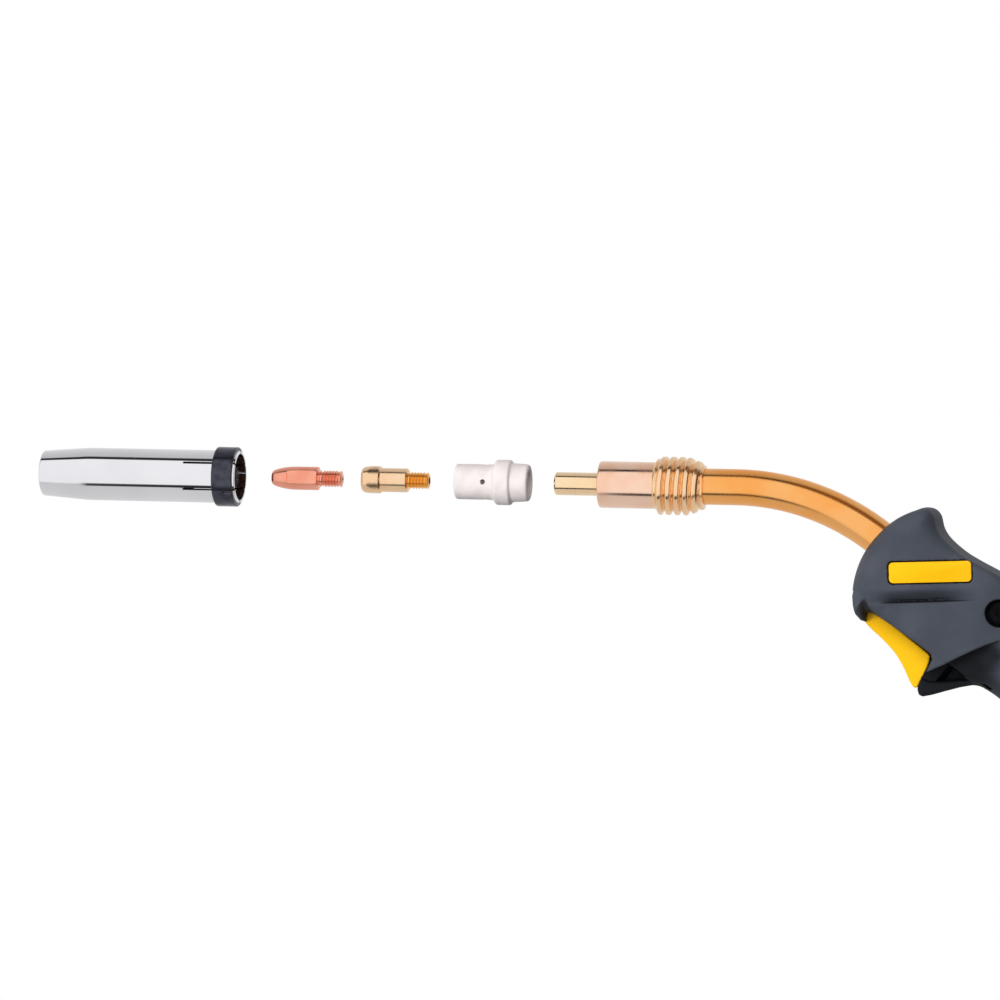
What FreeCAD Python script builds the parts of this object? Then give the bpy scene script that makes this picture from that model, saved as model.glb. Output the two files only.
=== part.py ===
import FreeCAD, Part
import math
import os
import re
import Sketcher
from FreeCAD import Placement, Rotation, Vector

# Gas-cooled MIG welding torch with the wearing pieces of its front end drawn off in line.
# Frame: millimetres, +Z up, +X from the nozzle to the handle, origin in the middle of the cable
# inlet's rear face. The handle slopes down to the rear; the neck's front axis is level.
# Pieces of the handle are drawn in the handle's own frame: x runs along its axis from the neck's
# entry to the rear, z is square to the axis. Every front piece is drawn with its front face at x = 0.

SIZES = [
    # Neck and lay-out
    ("neck_straight", 47.4, "sleeve face to the start of the neck's bend"),
    ("neck_bend_radius", 82, "bend of the neck's centre line"),
    ("handle_pitch", 37, "slope of the handle's axis, degrees"),
    ("neck_dip", 5, "the neck's further bend inside the handle, degrees"),
    ("handle_length", 182, "neck's entry to the inlet's rear face"),
    ("seat_gap", 0.1, "left at each seat of the front end when it is put together"),
    ("slip_gap", 0.1, "radial gap of pieces that slide over each other"),
    ("snug_gap", 0.05, "radial gap of pieces that sit in each other for good"),
    # Travel of each front piece from the drawn-off place to its seat
    ("nozzle_travel", 145.4, ""),
    ("diffuser_travel", 30.7, ""),
    ("adaptor_travel", 21, "counted from the diffuser"),
    ("tip_travel", 15.6, "counted from the adaptor"),
    # Gas nozzle and its clamp ring
    ("nozzle_length", 71, ""),
    ("nozzle_radius", 9.2, ""),
    ("nozzle_front_radius", 7.9, ""),
    ("nozzle_cone", 16.6, "length of the coned mouth"),
    ("nozzle_mouth_radius", 6.7, ""),
    ("nozzle_lip_round", 0.5, ""),
    ("nozzle_slot_length", 20.5, ""),
    ("nozzle_slot_width", 0.8, ""),
    ("nozzle_slot_turn", 30, "angle of the first slot from the side, degrees"),
    ("nozzle_rim", 0.6, "nozzle that stands out behind the ring"),
    ("ring_width", 7.4, ""),
    ("ring_wall", 1.2, ""),
    ("ring_split", 0.7, ""),
    # Contact tip
    ("tip_cone", 6.8, ""),
    ("tip_body", 16.5, "front to shoulder"),
    ("tip_radius", 4.05, ""),
    ("tip_front_radius", 2.4, ""),
    ("tip_thread_length", 8.5, ""),
    ("tip_thread_radius", 3, ""),
    ("tip_thread_depth", 0.45, ""),
    ("wire_radius", 0.6, ""),
    ("tip_flat", 3.4, "axis to wrench flat"),
    ("tip_flat_length", 6.1, ""),
    ("tip_flat_setback", 1.4, "shoulder to the flats' rear end"),
    # Tip adaptor
    ("adaptor_head", 8.4, ""),
    ("adaptor_head_radius", 4.95, ""),
    ("adaptor_head_flat", 4.5, "axis to hexagon flat"),
    ("adaptor_chamfer", 0.9, ""),
    ("adaptor_body", 7.8, ""),
    ("adaptor_body_radius", 4.15, ""),
    ("adaptor_waist_radius", 3.9, ""),
    ("adaptor_thread_length", 7.4, ""),
    ("adaptor_thread_radius", 2.9, ""),
    ("adaptor_thread_depth", 0.4, ""),
    ("adaptor_socket_play", 0.15, "radial play of the tip's thread in the socket"),
    ("adaptor_socket_spare", 1, "socket beyond the end of the tip's thread"),
    ("wire_guide_radius", 1.3, ""),
    # Gas diffuser
    ("diffuser_tube", 12.5, ""),
    ("diffuser_tube_radius", 6.1, ""),
    ("diffuser_fillet", 1.2, ""),
    ("diffuser_flange", 7, ""),
    ("diffuser_flange_radius", 7.8, ""),
    ("diffuser_spigot", 6.2, ""),
    ("diffuser_spigot_radius", 6.75, ""),
    ("diffuser_spigot_end_radius", 6.25, ""),
    ("diffuser_round", 0.6, ""),
    ("diffuser_hole_place", 8.6, "front face to the gas holes"),
    ("diffuser_hole_radius", 0.85, ""),
    # Neck
    ("tube_projection", 15.5, "brass tube ahead of the sleeve's face"),
    ("inner_tube_radius", 3.95, ""),
    ("inner_tube_bore", 2.6, ""),
    ("inner_tube_chamfer", 0.5, ""),
    ("socket_depth", 9, "front socket of the brass tube"),
    ("liner_radius", 2.4, ""),
    ("liner_bore", 1.1, ""),
    ("insulation_wall", 1, ""),
    ("outer_tube_radius", 6.2, ""),
    ("outer_tube_wall", 1, ""),
    ("sleeve_radius", 8, ""),
    ("sleeve_round", 0.8, ""),
    ("sleeve_plain", 18.1, "plain seat of the nozzle"),
    ("sleeve_socket_spare", 0.8, "socket beyond the seated diffuser"),
    ("coarse_length", 18.4, ""),
    ("coarse_radius", 10, ""),
    ("coarse_depth", 1.6, ""),
    ("coarse_end_radius", 7.9, ""),
    ("tube_in_sleeve", 10, "length of the outer tube inside the sleeve"),
    # Neck's rear end in the handle, measured from the end of the bend
    ("holder_gap", 0.95, "grommet to the block that clamps the neck"),
    ("holder_length", 15, ""),
    ("holder_pad_inset", 2, "holder's end to the shells' pads"),
    ("holder_half_width", 9, ""),
    ("holder_top", 9, ""),
    ("holder_bottom", 7.8, ""),
    ("holder_screw_radius", 2, ""),
    ("holder_screw_inset", 4, ""),
    ("outer_tube_tail", 14, ""),
    ("insulation_tail", 17, ""),
    ("block_start", 19, ""),
    ("block_length", 17, ""),
    ("block_radius", 7.6, ""),
    ("block_flat", 7, "axis to hexagon flat"),
    ("block_front_socket", 7, ""),
    ("block_rear_socket", 9, ""),
    ("block_rear_radius", 5.1, ""),
    ("cover_wall", 1.2, ""),
    ("cover_overhang", 1, "cover ahead of the block"),
    ("cover_tail", 0.6, "cover behind the block"),
    ("grommet_front", 3.9, ""),
    ("grommet_length", 3.7, ""),
    ("grommet_radius", 9.8, ""),
    ("grommet_gap", 0.45, ""),
    # Handle shells, in the handle's frame
    ("wall", 2.8, "thickness of the shells"),
    ("front_arc_radius", 30, "side view's front arc"),
    ("front_arc_place", 28, ""),
    ("front_arc_drop", 3.1, ""),
    ("dome_length", 14, "length over which the front widens"),
    ("bulb_half_width", 21, ""),
    ("cheek_half_width", 18.6, ""),
    ("grip_half_width", 17.2, ""),
    ("hump_place", 9.5, ""),
    ("hump_height", 19.2, ""),
    ("saddle_place", 21, ""),
    ("saddle_height", 14.7, ""),
    ("crest_place", 64, ""),
    ("crest_height", 18.3, ""),
    ("waist_place", 125, ""),
    ("waist_height", 16, ""),
    ("rear_height", 17.4, ""),
    ("bottom_drop", 21, "trigger edge below the axis"),
    ("finger_drop", 17.1, "first finger's place below the axis"),
    ("palm_drop", 18, ""),
    ("palm_place", 88, ""),
    ("cheek_end", 40, "rear end of the trigger edge"),
    ("bulb_end", 30, "where the bulb starts to narrow"),
    ("waist_half_width", 16.4, ""),
    ("dome_corner", 12, ""),
    ("bulb_corner", 5.5, ""),
    ("saddle_corner", 3.5, ""),
    ("grip_corner", 10, ""),
    ("palm_corner", 13.5, ""),
    ("crease_place", 14, ""),
    ("crease_drop", 15.7, ""),
    ("scoop_place", 54, ""),
    ("scoop_top", 3, ""),
    ("scoop_half_width", 12.6, ""),
    ("guard_place", 44.6, "tip of the finger guard"),
    ("guard_drop", 33.4, ""),
    ("guard_root_place", 55, ""),
    ("guard_root_drop", 19.4, ""),
    ("guard_half_width", 9.6, ""),
    ("lip_place", 12.9, "tip of the hook in front of the trigger"),
    ("lip_drop", 25.8, ""),
    ("tail_length", 14, "round end that carries the collar"),
    ("tail_radius", 16, ""),
    ("collar_wall", 2.3, ""),
    ("collar_length", 11.6, ""),
    ("bush_radius", 13.8, ""),
    ("bush_length", 20, ""),
    ("bush_flange", 0.9, ""),
    ("bush_flange_radius", 15.6, ""),
    ("inlet_radius", 11.2, "bore for the hose pack"),
    ("throat_half_width", 10, ""),
    ("throat_drop", 16.2, ""),
    # Screws of the shells
    ("screw_radius", 1.5, ""),
    ("screw_head_radius", 3.5, ""),
    ("screw_head_height", 2.6, ""),
    ("screw_recess_radius", 4.65, ""),
    ("screw_recess_floor", 12.4, "mid plane to the front recess's floor"),
    ("rear_recess_floor", 7.6, "mid plane to the rear recesses' floor"),
    ("screw_reach", 7.4, "screw's end beyond the mid plane"),
    ("insert_radius", 2.4, ""),
    ("insert_length", 6, ""),
    ("insert_start", 0.9, "mid plane to the inserts"),
    ("boss_radius", 3.2, ""),
    ("front_screw_place", 47.9, ""),
    ("front_screw_height", 6.3, ""),
    ("middle_screw_place", 104, ""),
    ("rear_screw_setback", 32, "shells' rear end to the rear screw"),
    ("rear_screw_height", 10, ""),
    # Label plates
    ("label_length", 27.5, ""),
    ("label_height", 7, ""),
    ("label_thickness", 1.2, ""),
    ("label_corner", 1.4, ""),
    ("label_gap", 0.2, ""),
    ("label_sunk", 0.15, "plate's face under the shell's"),
    ("label_place", 21.4, ""),
    ("label_rise", 2.5, ""),
    ("label_turn", 39.7, "from the handle's axis, degrees"),
    # Trigger and switch
    ("trigger_half_width", 7, ""),
    ("trigger_slot_gap", 0.35, ""),
    ("trigger_end", 38.4, ""),
    ("trigger_top_drop", 19.9, "upper edge below the handle's axis"),
    ("trigger_drop", 25.6, ""),
    ("trigger_tip_place", 41.1, ""),
    ("trigger_tip_drop", 31.6, ""),
    ("trigger_round", 0.5, ""),
    ("trigger_skin", 1.7, ""),
    ("pin_place", 12.8, ""),
    ("pin_drop", 18.2, ""),
    ("pin_radius", 1.2, ""),
    ("pin_half_length", 9.5, ""),
    ("ear_radius", 2.8, ""),
    ("plunger_place", 25.6, ""),
    ("plunger_length", 2, ""),
    ("plunger_half_width", 1.3, ""),
    ("plunger_tip_drop", 19.6, ""),
    ("plunger_height", 3.4, ""),
    ("plunger_travel", 1.25, ""),
    ("press_gap", 0.15, "trigger's rib to plunger"),
    ("switch_front", 16.8, ""),
    ("switch_length", 12.8, ""),
    ("switch_half_width", 2.9, ""),
    ("switch_drop", 18.2, ""),
    ("switch_height", 6.3, ""),
    ("switch_pin_radius", 1, ""),
    ("switch_pin_inset", 1.8, ""),
    ("switch_pin_rise", 4.6, ""),
    ("switch_pin_half", 5, "half length of the pins that hold the switch"),
    ("terminal_length", 3.2, ""),
    ("terminal_half_width", 0.8, ""),
    ("terminal_thickness", 0.5, ""),
    ("lead_spread", 1.6, "leads and terminals beside the mid plane"),
    ("lead_drop", 14.6, ""),
    ("lead_radius", 0.7, ""),
    ("spring_place", 33.5, ""),
    ("spring_radius", 2.5, ""),
    ("spring_wire", 0.6, ""),
    ("spring_foot_drop", 25.4, ""),
    ("spring_seat_drop", 17.4, ""),
    ("spring_seat_thickness", 1.4, ""),
    ("connector_setback", 34, "shells' rear end to the connector"),
    ("connector_length", 12, ""),
    ("connector_half_width", 4, ""),
    ("connector_height", 5, ""),
    ("connector_drop", 12.6, ""),
    ("connector_pocket", 5, ""),
    ("connector_rest", 2.6, "rib under the connector, down into the wall"),
    ("connector_wall", 0.9, ""),
    ("contact_radius", 0.5, ""),
]

# Counts of turns on the three threads and of repeated features
TIP_TURNS = 8
ADAPTOR_TURNS = 7
COARSE_RIDGES = 6
NOZZLE_SLOT_COUNT = 6
GAS_HOLE_COUNT = 4
HEXAGON_SIDES = 6
COLLAR_RIBS = 5

doc = FreeCAD.newDocument("mig_torch")
sheet = doc.addObject("Spreadsheet::Sheet", "sizes")
for row, (size_name, size_value, size_note) in enumerate(SIZES, 1):
    sheet.set("A%d" % row, size_name)
    sheet.set("B%d" % row, str(size_value))
    sheet.set("C%d" % row, size_note)
    sheet.setAlias("B%d" % row, size_name)
doc.recompute()

nodes = []
MATHS = ("sin", "cos", "tan", "sqrt")


def size(name):
    """Value of one size of the sheet."""
    return float(sheet.get(name))


def bound(text):
    """Expression on the sheet's sizes, written with their bare names."""
    def prefix(match):
        word = match.group(0)
        return word if word in MATHS else "sizes." + word
    return re.sub(r"[a-z][a-z_]*", prefix, text)


# Places of the frames, as expressions on the sizes
FACE_X = "-(handle_length * cos(handle_pitch) + neck_bend_radius * sin(handle_pitch) + neck_straight)"
AXIS_Z = "(handle_length * sin(handle_pitch) + neck_bend_radius * (1 - cos(handle_pitch)))"
NECK_TURN = "(handle_pitch + neck_dip)"
BEND_X = "(%s + neck_straight)" % FACE_X
BEND_END_X = "(%s + neck_bend_radius * sin%s)" % (BEND_X, NECK_TURN)
BEND_END_Z = "(%s - neck_bend_radius * (1 - cos%s))" % (AXIS_Z, NECK_TURN)
HOLDER_START = "(grommet_front + grommet_length + holder_gap - neck_bend_radius * sin(neck_dip))"
CONNECTOR_PLACE = "(handle_length - connector_setback)"


def place_on_axis(piece, x):
    """Put a front piece on the neck's front axis, x being counted from the sleeve's face."""
    piece.setExpression("Placement.Base.x", bound("%s + %s" % (FACE_X, x)))
    piece.setExpression("Placement.Base.z", bound(AXIS_Z))


def place_in_handle(piece, x="0", z="0", y="0", turn="0"):
    """Put a piece drawn in the handle's frame in its place, turned about the cross axis."""
    piece.Placement = Placement(Vector(0, 0, 0), Rotation(Vector(0, 1, 0), 1))
    along = "(%s - handle_length)" % x
    piece.setExpression("Placement.Base.x",
                        bound("%s * cos(handle_pitch) + (%s) * sin(handle_pitch)" % (along, z)))
    piece.setExpression("Placement.Base.y", bound(y))
    piece.setExpression("Placement.Base.z",
                        bound("-%s * sin(handle_pitch) + (%s) * cos(handle_pitch)" % (along, z)))
    piece.setExpression("Placement.Rotation.Angle", bound("handle_pitch - (%s)" % turn))


def place_on_neck_end(piece):
    """Put a piece drawn along the neck's rear end, x being counted from the end of the bend."""
    piece.Placement = Placement(Vector(0, 0, 0), Rotation(Vector(0, 1, 0), 1))
    piece.setExpression("Placement.Base.x", bound(BEND_END_X))
    piece.setExpression("Placement.Base.z", bound(BEND_END_Z))
    piece.setExpression("Placement.Rotation.Angle", bound(NECK_TURN))


def node(piece, label):
    """Name a finished sub-part and keep it for the checks and the files."""
    piece.Label = label
    nodes.append(piece)
    return piece


def base_plane(body, role):
    """One of the origin planes of a body."""
    return [item for item in body.Origin.OriginFeatures if item.Role == role][0]


def polygon_sketch(body, name, outline, role="XZ_Plane"):
    """Closed outline in a base plane, each corner bound to the sheet through two dimensions."""
    sketch = body.newObject("Sketcher::SketchObject", name)
    sketch.AttachmentSupport = [(base_plane(body, role), "")]
    sketch.MapMode = "FlatFace"
    count = len(outline)
    turns = [2 * math.pi * k / count for k in range(count)]
    start = [Vector(20 + 10 * math.cos(turn), 20 + 10 * math.sin(turn), 0) for turn in turns]
    for k in range(count):
        sketch.addGeometry(Part.LineSegment(start[k], start[(k + 1) % count]), False)
    for k in range(count):
        sketch.addConstraint(Sketcher.Constraint("Coincident", k, 2, (k + 1) % count, 1))
    for k, (across, up) in enumerate(outline):
        for kind, text in (("DistanceX", across), ("DistanceY", up)):
            number = sketch.addConstraint(Sketcher.Constraint(kind, -1, 1, k, 1, 1.0))
            sketch.setExpression("Constraints[%d]" % number, bound(text))
    return sketch


def circle_sketch(body, name, across, up, radius, role="XZ_Plane"):
    """Circle in a base plane, bound to the sheet."""
    sketch = body.newObject("Sketcher::SketchObject", name)
    sketch.AttachmentSupport = [(base_plane(body, role), "")]
    sketch.MapMode = "FlatFace"
    sketch.addGeometry(Part.Circle(Vector(5, 5, 0), Vector(0, 0, 1), 1), False)
    for kind, text in (("DistanceX", across), ("DistanceY", up)):
        number = sketch.addConstraint(Sketcher.Constraint(kind, -1, 1, 0, 3, 1.0))
        sketch.setExpression("Constraints[%d]" % number, bound(text))
    number = sketch.addConstraint(Sketcher.Constraint("Radius", 0, 1.0))
    sketch.setExpression("Constraints[%d]" % number, bound(radius))
    return sketch


def turned(name, outline):
    """Body turned about the X axis from an outline of (x, radius) corners."""
    body = doc.addObject("PartDesign::Body", name)
    sketch = polygon_sketch(body, name + "_profile", outline)
    turning = body.newObject("PartDesign::Revolution", name + "_turning")
    turning.Profile = sketch
    turning.ReferenceAxis = (sketch, ["H_Axis"])
    turning.Angle = 360
    doc.recompute()
    return body


def corner_points(body, corners):
    """Solved places of some corners of a turned body's outline."""
    sketch = [item for item in body.Group if item.isDerivedFrom("Sketcher::SketchObject")][0]
    return [sketch.Geometry[k].StartPoint for k in corners]


def round_rims(body, corners, radius):
    """Round the rims of a turned body that the given corners of its outline make."""
    base = body.Tip
    names = []
    for point in corner_points(body, corners):
        for number, edge in enumerate(base.Shape.Edges, 1):
            if not isinstance(edge.Curve, Part.Circle):
                continue
            same_place = abs(edge.Curve.Center.x - point.x) < 1e-4
            if same_place and abs(edge.Curve.Radius - point.y) < 1e-4:
                names.append("Edge%d" % number)
    rounding = body.newObject("PartDesign::Fillet", body.Name + "_round")
    rounding.Base = (base, sorted(set(names)))
    rounding.setExpression("Radius", bound(radius))
    doc.recompute()
    return rounding


def cut_through(body, sketch, copies):
    """Cut a sketch through a turned body both ways, repeated round its axis."""
    pocket = body.newObject("PartDesign::Pocket", sketch.Name + "_cut")
    pocket.Profile = sketch
    pocket.Type = 1
    pocket.Midplane = True
    doc.recompute()
    if copies > 1:
        pattern = body.newObject("PartDesign::PolarPattern", sketch.Name + "_copies")
        pattern.Originals = [pocket]
        pattern.Axis = (sketch, ["H_Axis"])
        pattern.Angle = 360
        pattern.Occurrences = copies
        body.Tip = pattern
        doc.recompute()
    return pocket


def rectangle(left, right, low, high):
    """Corners of a rectangle."""
    return [(left, low), (right, low), (right, high), (left, high)]


def cylinder(name, radius, length, x="0", y="0", z="0", along="X"):
    """Cylinder primitive along an axis, from a point."""
    piece = doc.addObject("Part::Cylinder", name)
    turns = {"X": Rotation(Vector(0, 1, 0), 90), "Y": Rotation(Vector(1, 0, 0), -90), "Z": Rotation()}
    piece.Placement = Placement(Vector(0, 0, 0), turns[along])
    piece.setExpression("Radius", bound(radius))
    piece.setExpression("Height", bound(length))
    for axis, text in (("x", x), ("y", y), ("z", z)):
        piece.setExpression("Placement.Base." + axis, bound(text))
    return piece


def box(name, x, y, z):
    """Box primitive from three pairs of limits."""
    piece = doc.addObject("Part::Box", name)
    for axis, side, (low, high) in (("x", "Length", x), ("y", "Width", y), ("z", "Height", z)):
        piece.setExpression("Placement.Base." + axis, bound(low))
        piece.setExpression(side, bound("(%s) - (%s)" % (high, low)))
    return piece


def joined(name, pieces):
    """Fuse of several pieces, or group of solids that stay apart."""
    union = doc.addObject("Part::MultiFuse", name)
    union.Shapes = pieces
    return union


def cut(name, base, tools):
    """Base less its tools."""
    result = doc.addObject("Part::Cut", name)
    result.Base = base
    result.Tool = tools[0] if len(tools) == 1 else joined(name + "_tools", tools)
    return result


# Front pieces

NOZZLE_BORE = "(sleeve_radius + slip_gap)"


def make_gas_nozzle():
    """Chromed nozzle: coned mouth, plain body and six springy fingers at the rear."""
    body = turned("gas_nozzle", [
        ("0", "nozzle_mouth_radius"), ("nozzle_cone", NOZZLE_BORE), ("nozzle_length", NOZZLE_BORE),
        ("nozzle_length", "nozzle_radius"), ("nozzle_cone", "nozzle_radius"), ("0", "nozzle_front_radius")])
    round_rims(body, (5,), "nozzle_lip_round")
    slot = polygon_sketch(body, "nozzle_slot", rectangle(
        "nozzle_length - nozzle_slot_length", "nozzle_length + 1", "-nozzle_slot_width / 2",
        "nozzle_slot_width / 2"))
    cut_through(body, slot, NOZZLE_SLOT_COUNT)
    body.Placement = Placement(Vector(0, 0, 0), Rotation(Vector(1, 0, 0), 1))
    body.setExpression("Placement.Rotation.Angle", bound("nozzle_slot_turn"))
    place_on_axis(body, "sleeve_plain - seat_gap - nozzle_travel - nozzle_length")
    return node(body, "gas_nozzle")


def make_clamp_ring():
    """Black spring ring round the fingers, split once with a stepped gap."""
    inner = "(nozzle_radius + snug_gap)"
    outer = "(nozzle_radius + ring_wall)"
    body = turned("ring_turned", [
        ("0", inner), ("ring_width", inner), ("ring_width", outer), ("0", outer)])
    round_rims(body, (2, 3), "ring_wall / 4")
    front_half = box("ring_gap_front", ("-1", "ring_width / 2"), ("0", "nozzle_radius * 2"),
                     ("-ring_split / 2", "ring_split / 2"))
    rear_half = box("ring_gap_rear", ("ring_width / 2 - ring_split", "ring_width + 1"),
                    ("0", "nozzle_radius * 2"), ("ring_split / 2", "ring_split * 3 / 2"))
    step = box("ring_gap_step", ("ring_width / 2 - ring_split", "ring_width / 2"),
               ("0", "nozzle_radius * 2"), ("-ring_split / 2", "ring_split * 3 / 2"))
    ring = cut("nozzle_clamp_ring", body, [front_half, rear_half, step])
    ring.Placement = Placement(Vector(0, 0, 0), Rotation(Vector(1, 0, 0), 1))
    ring.setExpression("Placement.Rotation.Angle", bound("180 + nozzle_slot_turn"))
    place_on_axis(ring, "sleeve_plain - seat_gap - nozzle_travel - nozzle_rim - ring_width")
    return node(ring, "nozzle_clamp_ring")


def thread_corners(start, length, radius, depth, turns):
    """Crests and roots of a male thread, seen in section, from its front to its rear end."""
    corners = []
    for turn in range(turns):
        foot = "%s + (%s) * %d / %d" % (start, length, turn, turns)
        crest = "%s + (%s) * %d / %d" % (start, length, 2 * turn + 1, 2 * turns)
        corners.append((foot, "%s - %s" % (radius, depth)))
        corners.append((crest, radius))
    corners.append(("%s + %s" % (start, length), "%s - %s" % (radius, depth)))
    return corners


def make_contact_tip():
    """Copper tip: coned front, two wrench flats, threaded rear with a wire bore."""
    end = "tip_body + tip_thread_length"
    outline = [("0", "wire_radius"), (end, "wire_radius")]
    outline += reversed(thread_corners("tip_body", "tip_thread_length", "tip_thread_radius",
                                       "tip_thread_depth", TIP_TURNS))
    outline += [("tip_body", "tip_radius"), ("tip_cone", "tip_radius"), ("0", "tip_front_radius")]
    body = turned("contact_tip", outline)
    round_rims(body, (len(outline) - 1,), "tip_front_radius / 6")
    rear = "tip_body - tip_flat_setback"
    flats = polygon_sketch(body, "tip_flats", rectangle(
        rear + " - tip_flat_length", rear, "tip_flat", "tip_radius + 1"))
    cut_through(body, flats, 2)
    body.Placement = Placement(Vector(0, 0, 0), Rotation(Vector(1, 0, 0), 90))
    place_on_axis(body, "-tube_projection - 2 * seat_gap - adaptor_body - adaptor_head - diffuser_travel"
                  " - adaptor_travel - tip_travel - tip_body")
    return node(body, "contact_tip")


def make_tip_adaptor():
    """Brass adaptor: hexagon head with the tip's socket, body and threaded spigot."""
    socket = "(tip_thread_radius + adaptor_socket_play)"
    socket_end = "tip_thread_length + adaptor_socket_spare"
    shoulder = "adaptor_head + adaptor_body"
    outline = [("0", socket), (socket_end, socket), (socket_end, "wire_guide_radius"),
               (shoulder + " + adaptor_thread_length", "wire_guide_radius")]
    outline += reversed(thread_corners(shoulder, "adaptor_thread_length", "adaptor_thread_radius",
                                       "adaptor_thread_depth", ADAPTOR_TURNS))
    outline += [(shoulder, "adaptor_waist_radius"), ("adaptor_head", "adaptor_body_radius"),
                ("adaptor_head", "adaptor_head_radius"),
                ("adaptor_chamfer * 2", "adaptor_head_radius"),
                ("0", "adaptor_head_radius - adaptor_chamfer")]
    body = turned("tip_adaptor", outline)
    flat = polygon_sketch(body, "adaptor_hexagon", rectangle(
        "-1", "adaptor_head - adaptor_chamfer", "adaptor_head_flat", "adaptor_head_radius + 1"))
    cut_through(body, flat, HEXAGON_SIDES)
    place_on_axis(body, "-tube_projection - seat_gap - adaptor_body - adaptor_head - diffuser_travel"
                  " - adaptor_travel")
    return node(body, "tip_adaptor")


def make_gas_diffuser():
    """White ceramic diffuser: front tube with gas holes, flange, rear spigot."""
    bore = "(adaptor_body_radius + slip_gap + snug_gap)"
    flange = "diffuser_tube"
    spigot = "diffuser_tube + diffuser_flange"
    end = "diffuser_tube + diffuser_flange + diffuser_spigot"
    body = turned("gas_diffuser", [
        ("0", bore), (end, bore), (end, "diffuser_spigot_end_radius"), (spigot, "diffuser_spigot_radius"),
        (spigot, "diffuser_flange_radius"), (flange, "diffuser_flange_radius"),
        (flange, "diffuser_tube_radius"), ("0", "diffuser_tube_radius")])
    round_rims(body, (2, 4, 5, 7), "diffuser_round")
    round_rims(body, (6,), "diffuser_fillet")
    hole = circle_sketch(body, "gas_hole", "diffuser_hole_place", "0", "diffuser_hole_radius")
    cut_through(body, hole, GAS_HOLE_COUNT)
    place_on_axis(body, "-seat_gap - diffuser_travel - diffuser_tube - diffuser_flange")
    return node(body, "gas_diffuser")


# Neck

SLEEVE_LENGTH = "(sleeve_plain + coarse_length)"
SLEEVE_SOCKET = "(diffuser_spigot + sleeve_socket_spare)"
TUBE_FRONT = "(%s - tube_in_sleeve)" % SLEEVE_LENGTH
INSULATION_RADIUS = "(inner_tube_radius + slip_gap + insulation_wall)"


def make_nozzle_sleeve():
    """Copper sleeve: the nozzle's seat, then rounded ridges that run down to the tube."""
    bore = "(diffuser_spigot_radius + slip_gap)"
    tube_bore = "(outer_tube_radius + snug_gap)"
    outline = [("0", bore), (TUBE_FRONT, bore), (TUBE_FRONT, tube_bore), (SLEEVE_LENGTH, tube_bore)]
    ridges = []
    for ridge in range(COARSE_RIDGES):
        fall = "0"
        if ridge >= COARSE_RIDGES - 2:
            fall = "(coarse_radius - coarse_end_radius) * %d / 2" % (ridge - COARSE_RIDGES + 3)
        crest = "coarse_radius - (%s)" % fall
        root = "coarse_radius - coarse_depth"
        if ridge >= COARSE_RIDGES - 2:
            root = "coarse_end_radius - coarse_depth * %d / 6" % (ridge - COARSE_RIDGES + 3)
        for share, radius in ((0, root), (0.22, crest), (0.62, crest), (0.84, root)):
            place = "sleeve_plain + coarse_length * %.2f / %d" % (ridge + share, COARSE_RIDGES)
            ridges.append((place, radius))
    outline += [(SLEEVE_LENGTH, ridges[-1][1])]
    outline += reversed(ridges)
    outline += [("sleeve_plain", "sleeve_radius"), ("0", "sleeve_radius")]
    body = turned("nozzle_sleeve", outline)
    round_rims(body, (len(outline) - 1,), "sleeve_round")
    place_on_axis(body, "0")
    return node(body, "nozzle_sleeve")


def make_front_insulator():
    """Bush that centres the brass tube in the sleeve, behind the diffuser's socket."""
    inner = "(inner_tube_radius + snug_gap)"
    outer = "(diffuser_spigot_radius + slip_gap - snug_gap)"
    end = "%s - seat_gap - %s" % (TUBE_FRONT, SLEEVE_SOCKET)
    body = turned("front_insulator", [("0", inner), (end, inner), (end, outer), ("0", outer)])
    round_rims(body, (2, 3), "insulation_wall / 3")
    place_on_axis(body, SLEEVE_SOCKET)
    return node(body, "front_insulator")


def bent_rod(name, radius, front, tail):
    """Round rod along the neck: straight, bend and rear straight, joined."""
    lead = cylinder(name + "_lead", radius, "neck_straight - (%s)" % front, "%s + %s" % (FACE_X, front),
                    "0", AXIS_Z)
    bend = doc.addObject("Part::Torus", name + "_bend")
    bend.Placement = Placement(Vector(0, 0, 0), Rotation(Vector(1, 1, 1), 240))
    bend.setExpression("Radius1", bound("neck_bend_radius"))
    bend.setExpression("Radius2", bound(radius))
    bend.setExpression("Angle3", bound(NECK_TURN))
    bend.setExpression("Placement.Base.x", bound(BEND_X))
    bend.setExpression("Placement.Base.z", bound("%s - neck_bend_radius" % AXIS_Z))
    tail_rod = cylinder(name + "_tail", radius, tail, BEND_END_X, "0", BEND_END_Z)
    tail_rod.setExpression("Placement.Rotation.Angle", bound("90 + " + NECK_TURN))
    return joined(name, [lead, bend, tail_rod])


def bent_tube(label, outer, inner, front, tail):
    """Tube along the neck, front counted from the sleeve's face and tail from the bend's end."""
    skin = bent_rod(label + "_skin", outer, front, tail)
    bore = bent_rod(label + "_bore", inner, "%s - 1" % front, "%s + 1" % tail)
    return skin, bore


def make_outer_tube():
    """Bent copper-coloured tube that carries the sleeve."""
    skin, bore = bent_tube("outer_tube", "outer_tube_radius", "outer_tube_radius - outer_tube_wall",
                           TUBE_FRONT + " + seat_gap", "outer_tube_tail")
    return node(cut("outer_tube_piece", skin, [bore]), "outer_tube")


def make_neck_insulation():
    """Insulating tube between the outer tube and the brass tube."""
    skin, bore = bent_tube("neck_insulation", INSULATION_RADIUS, "inner_tube_radius + slip_gap / 2",
                           TUBE_FRONT + " + seat_gap", "insulation_tail")
    return node(cut("neck_insulation_piece", skin, [bore]), "neck_insulation")


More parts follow.
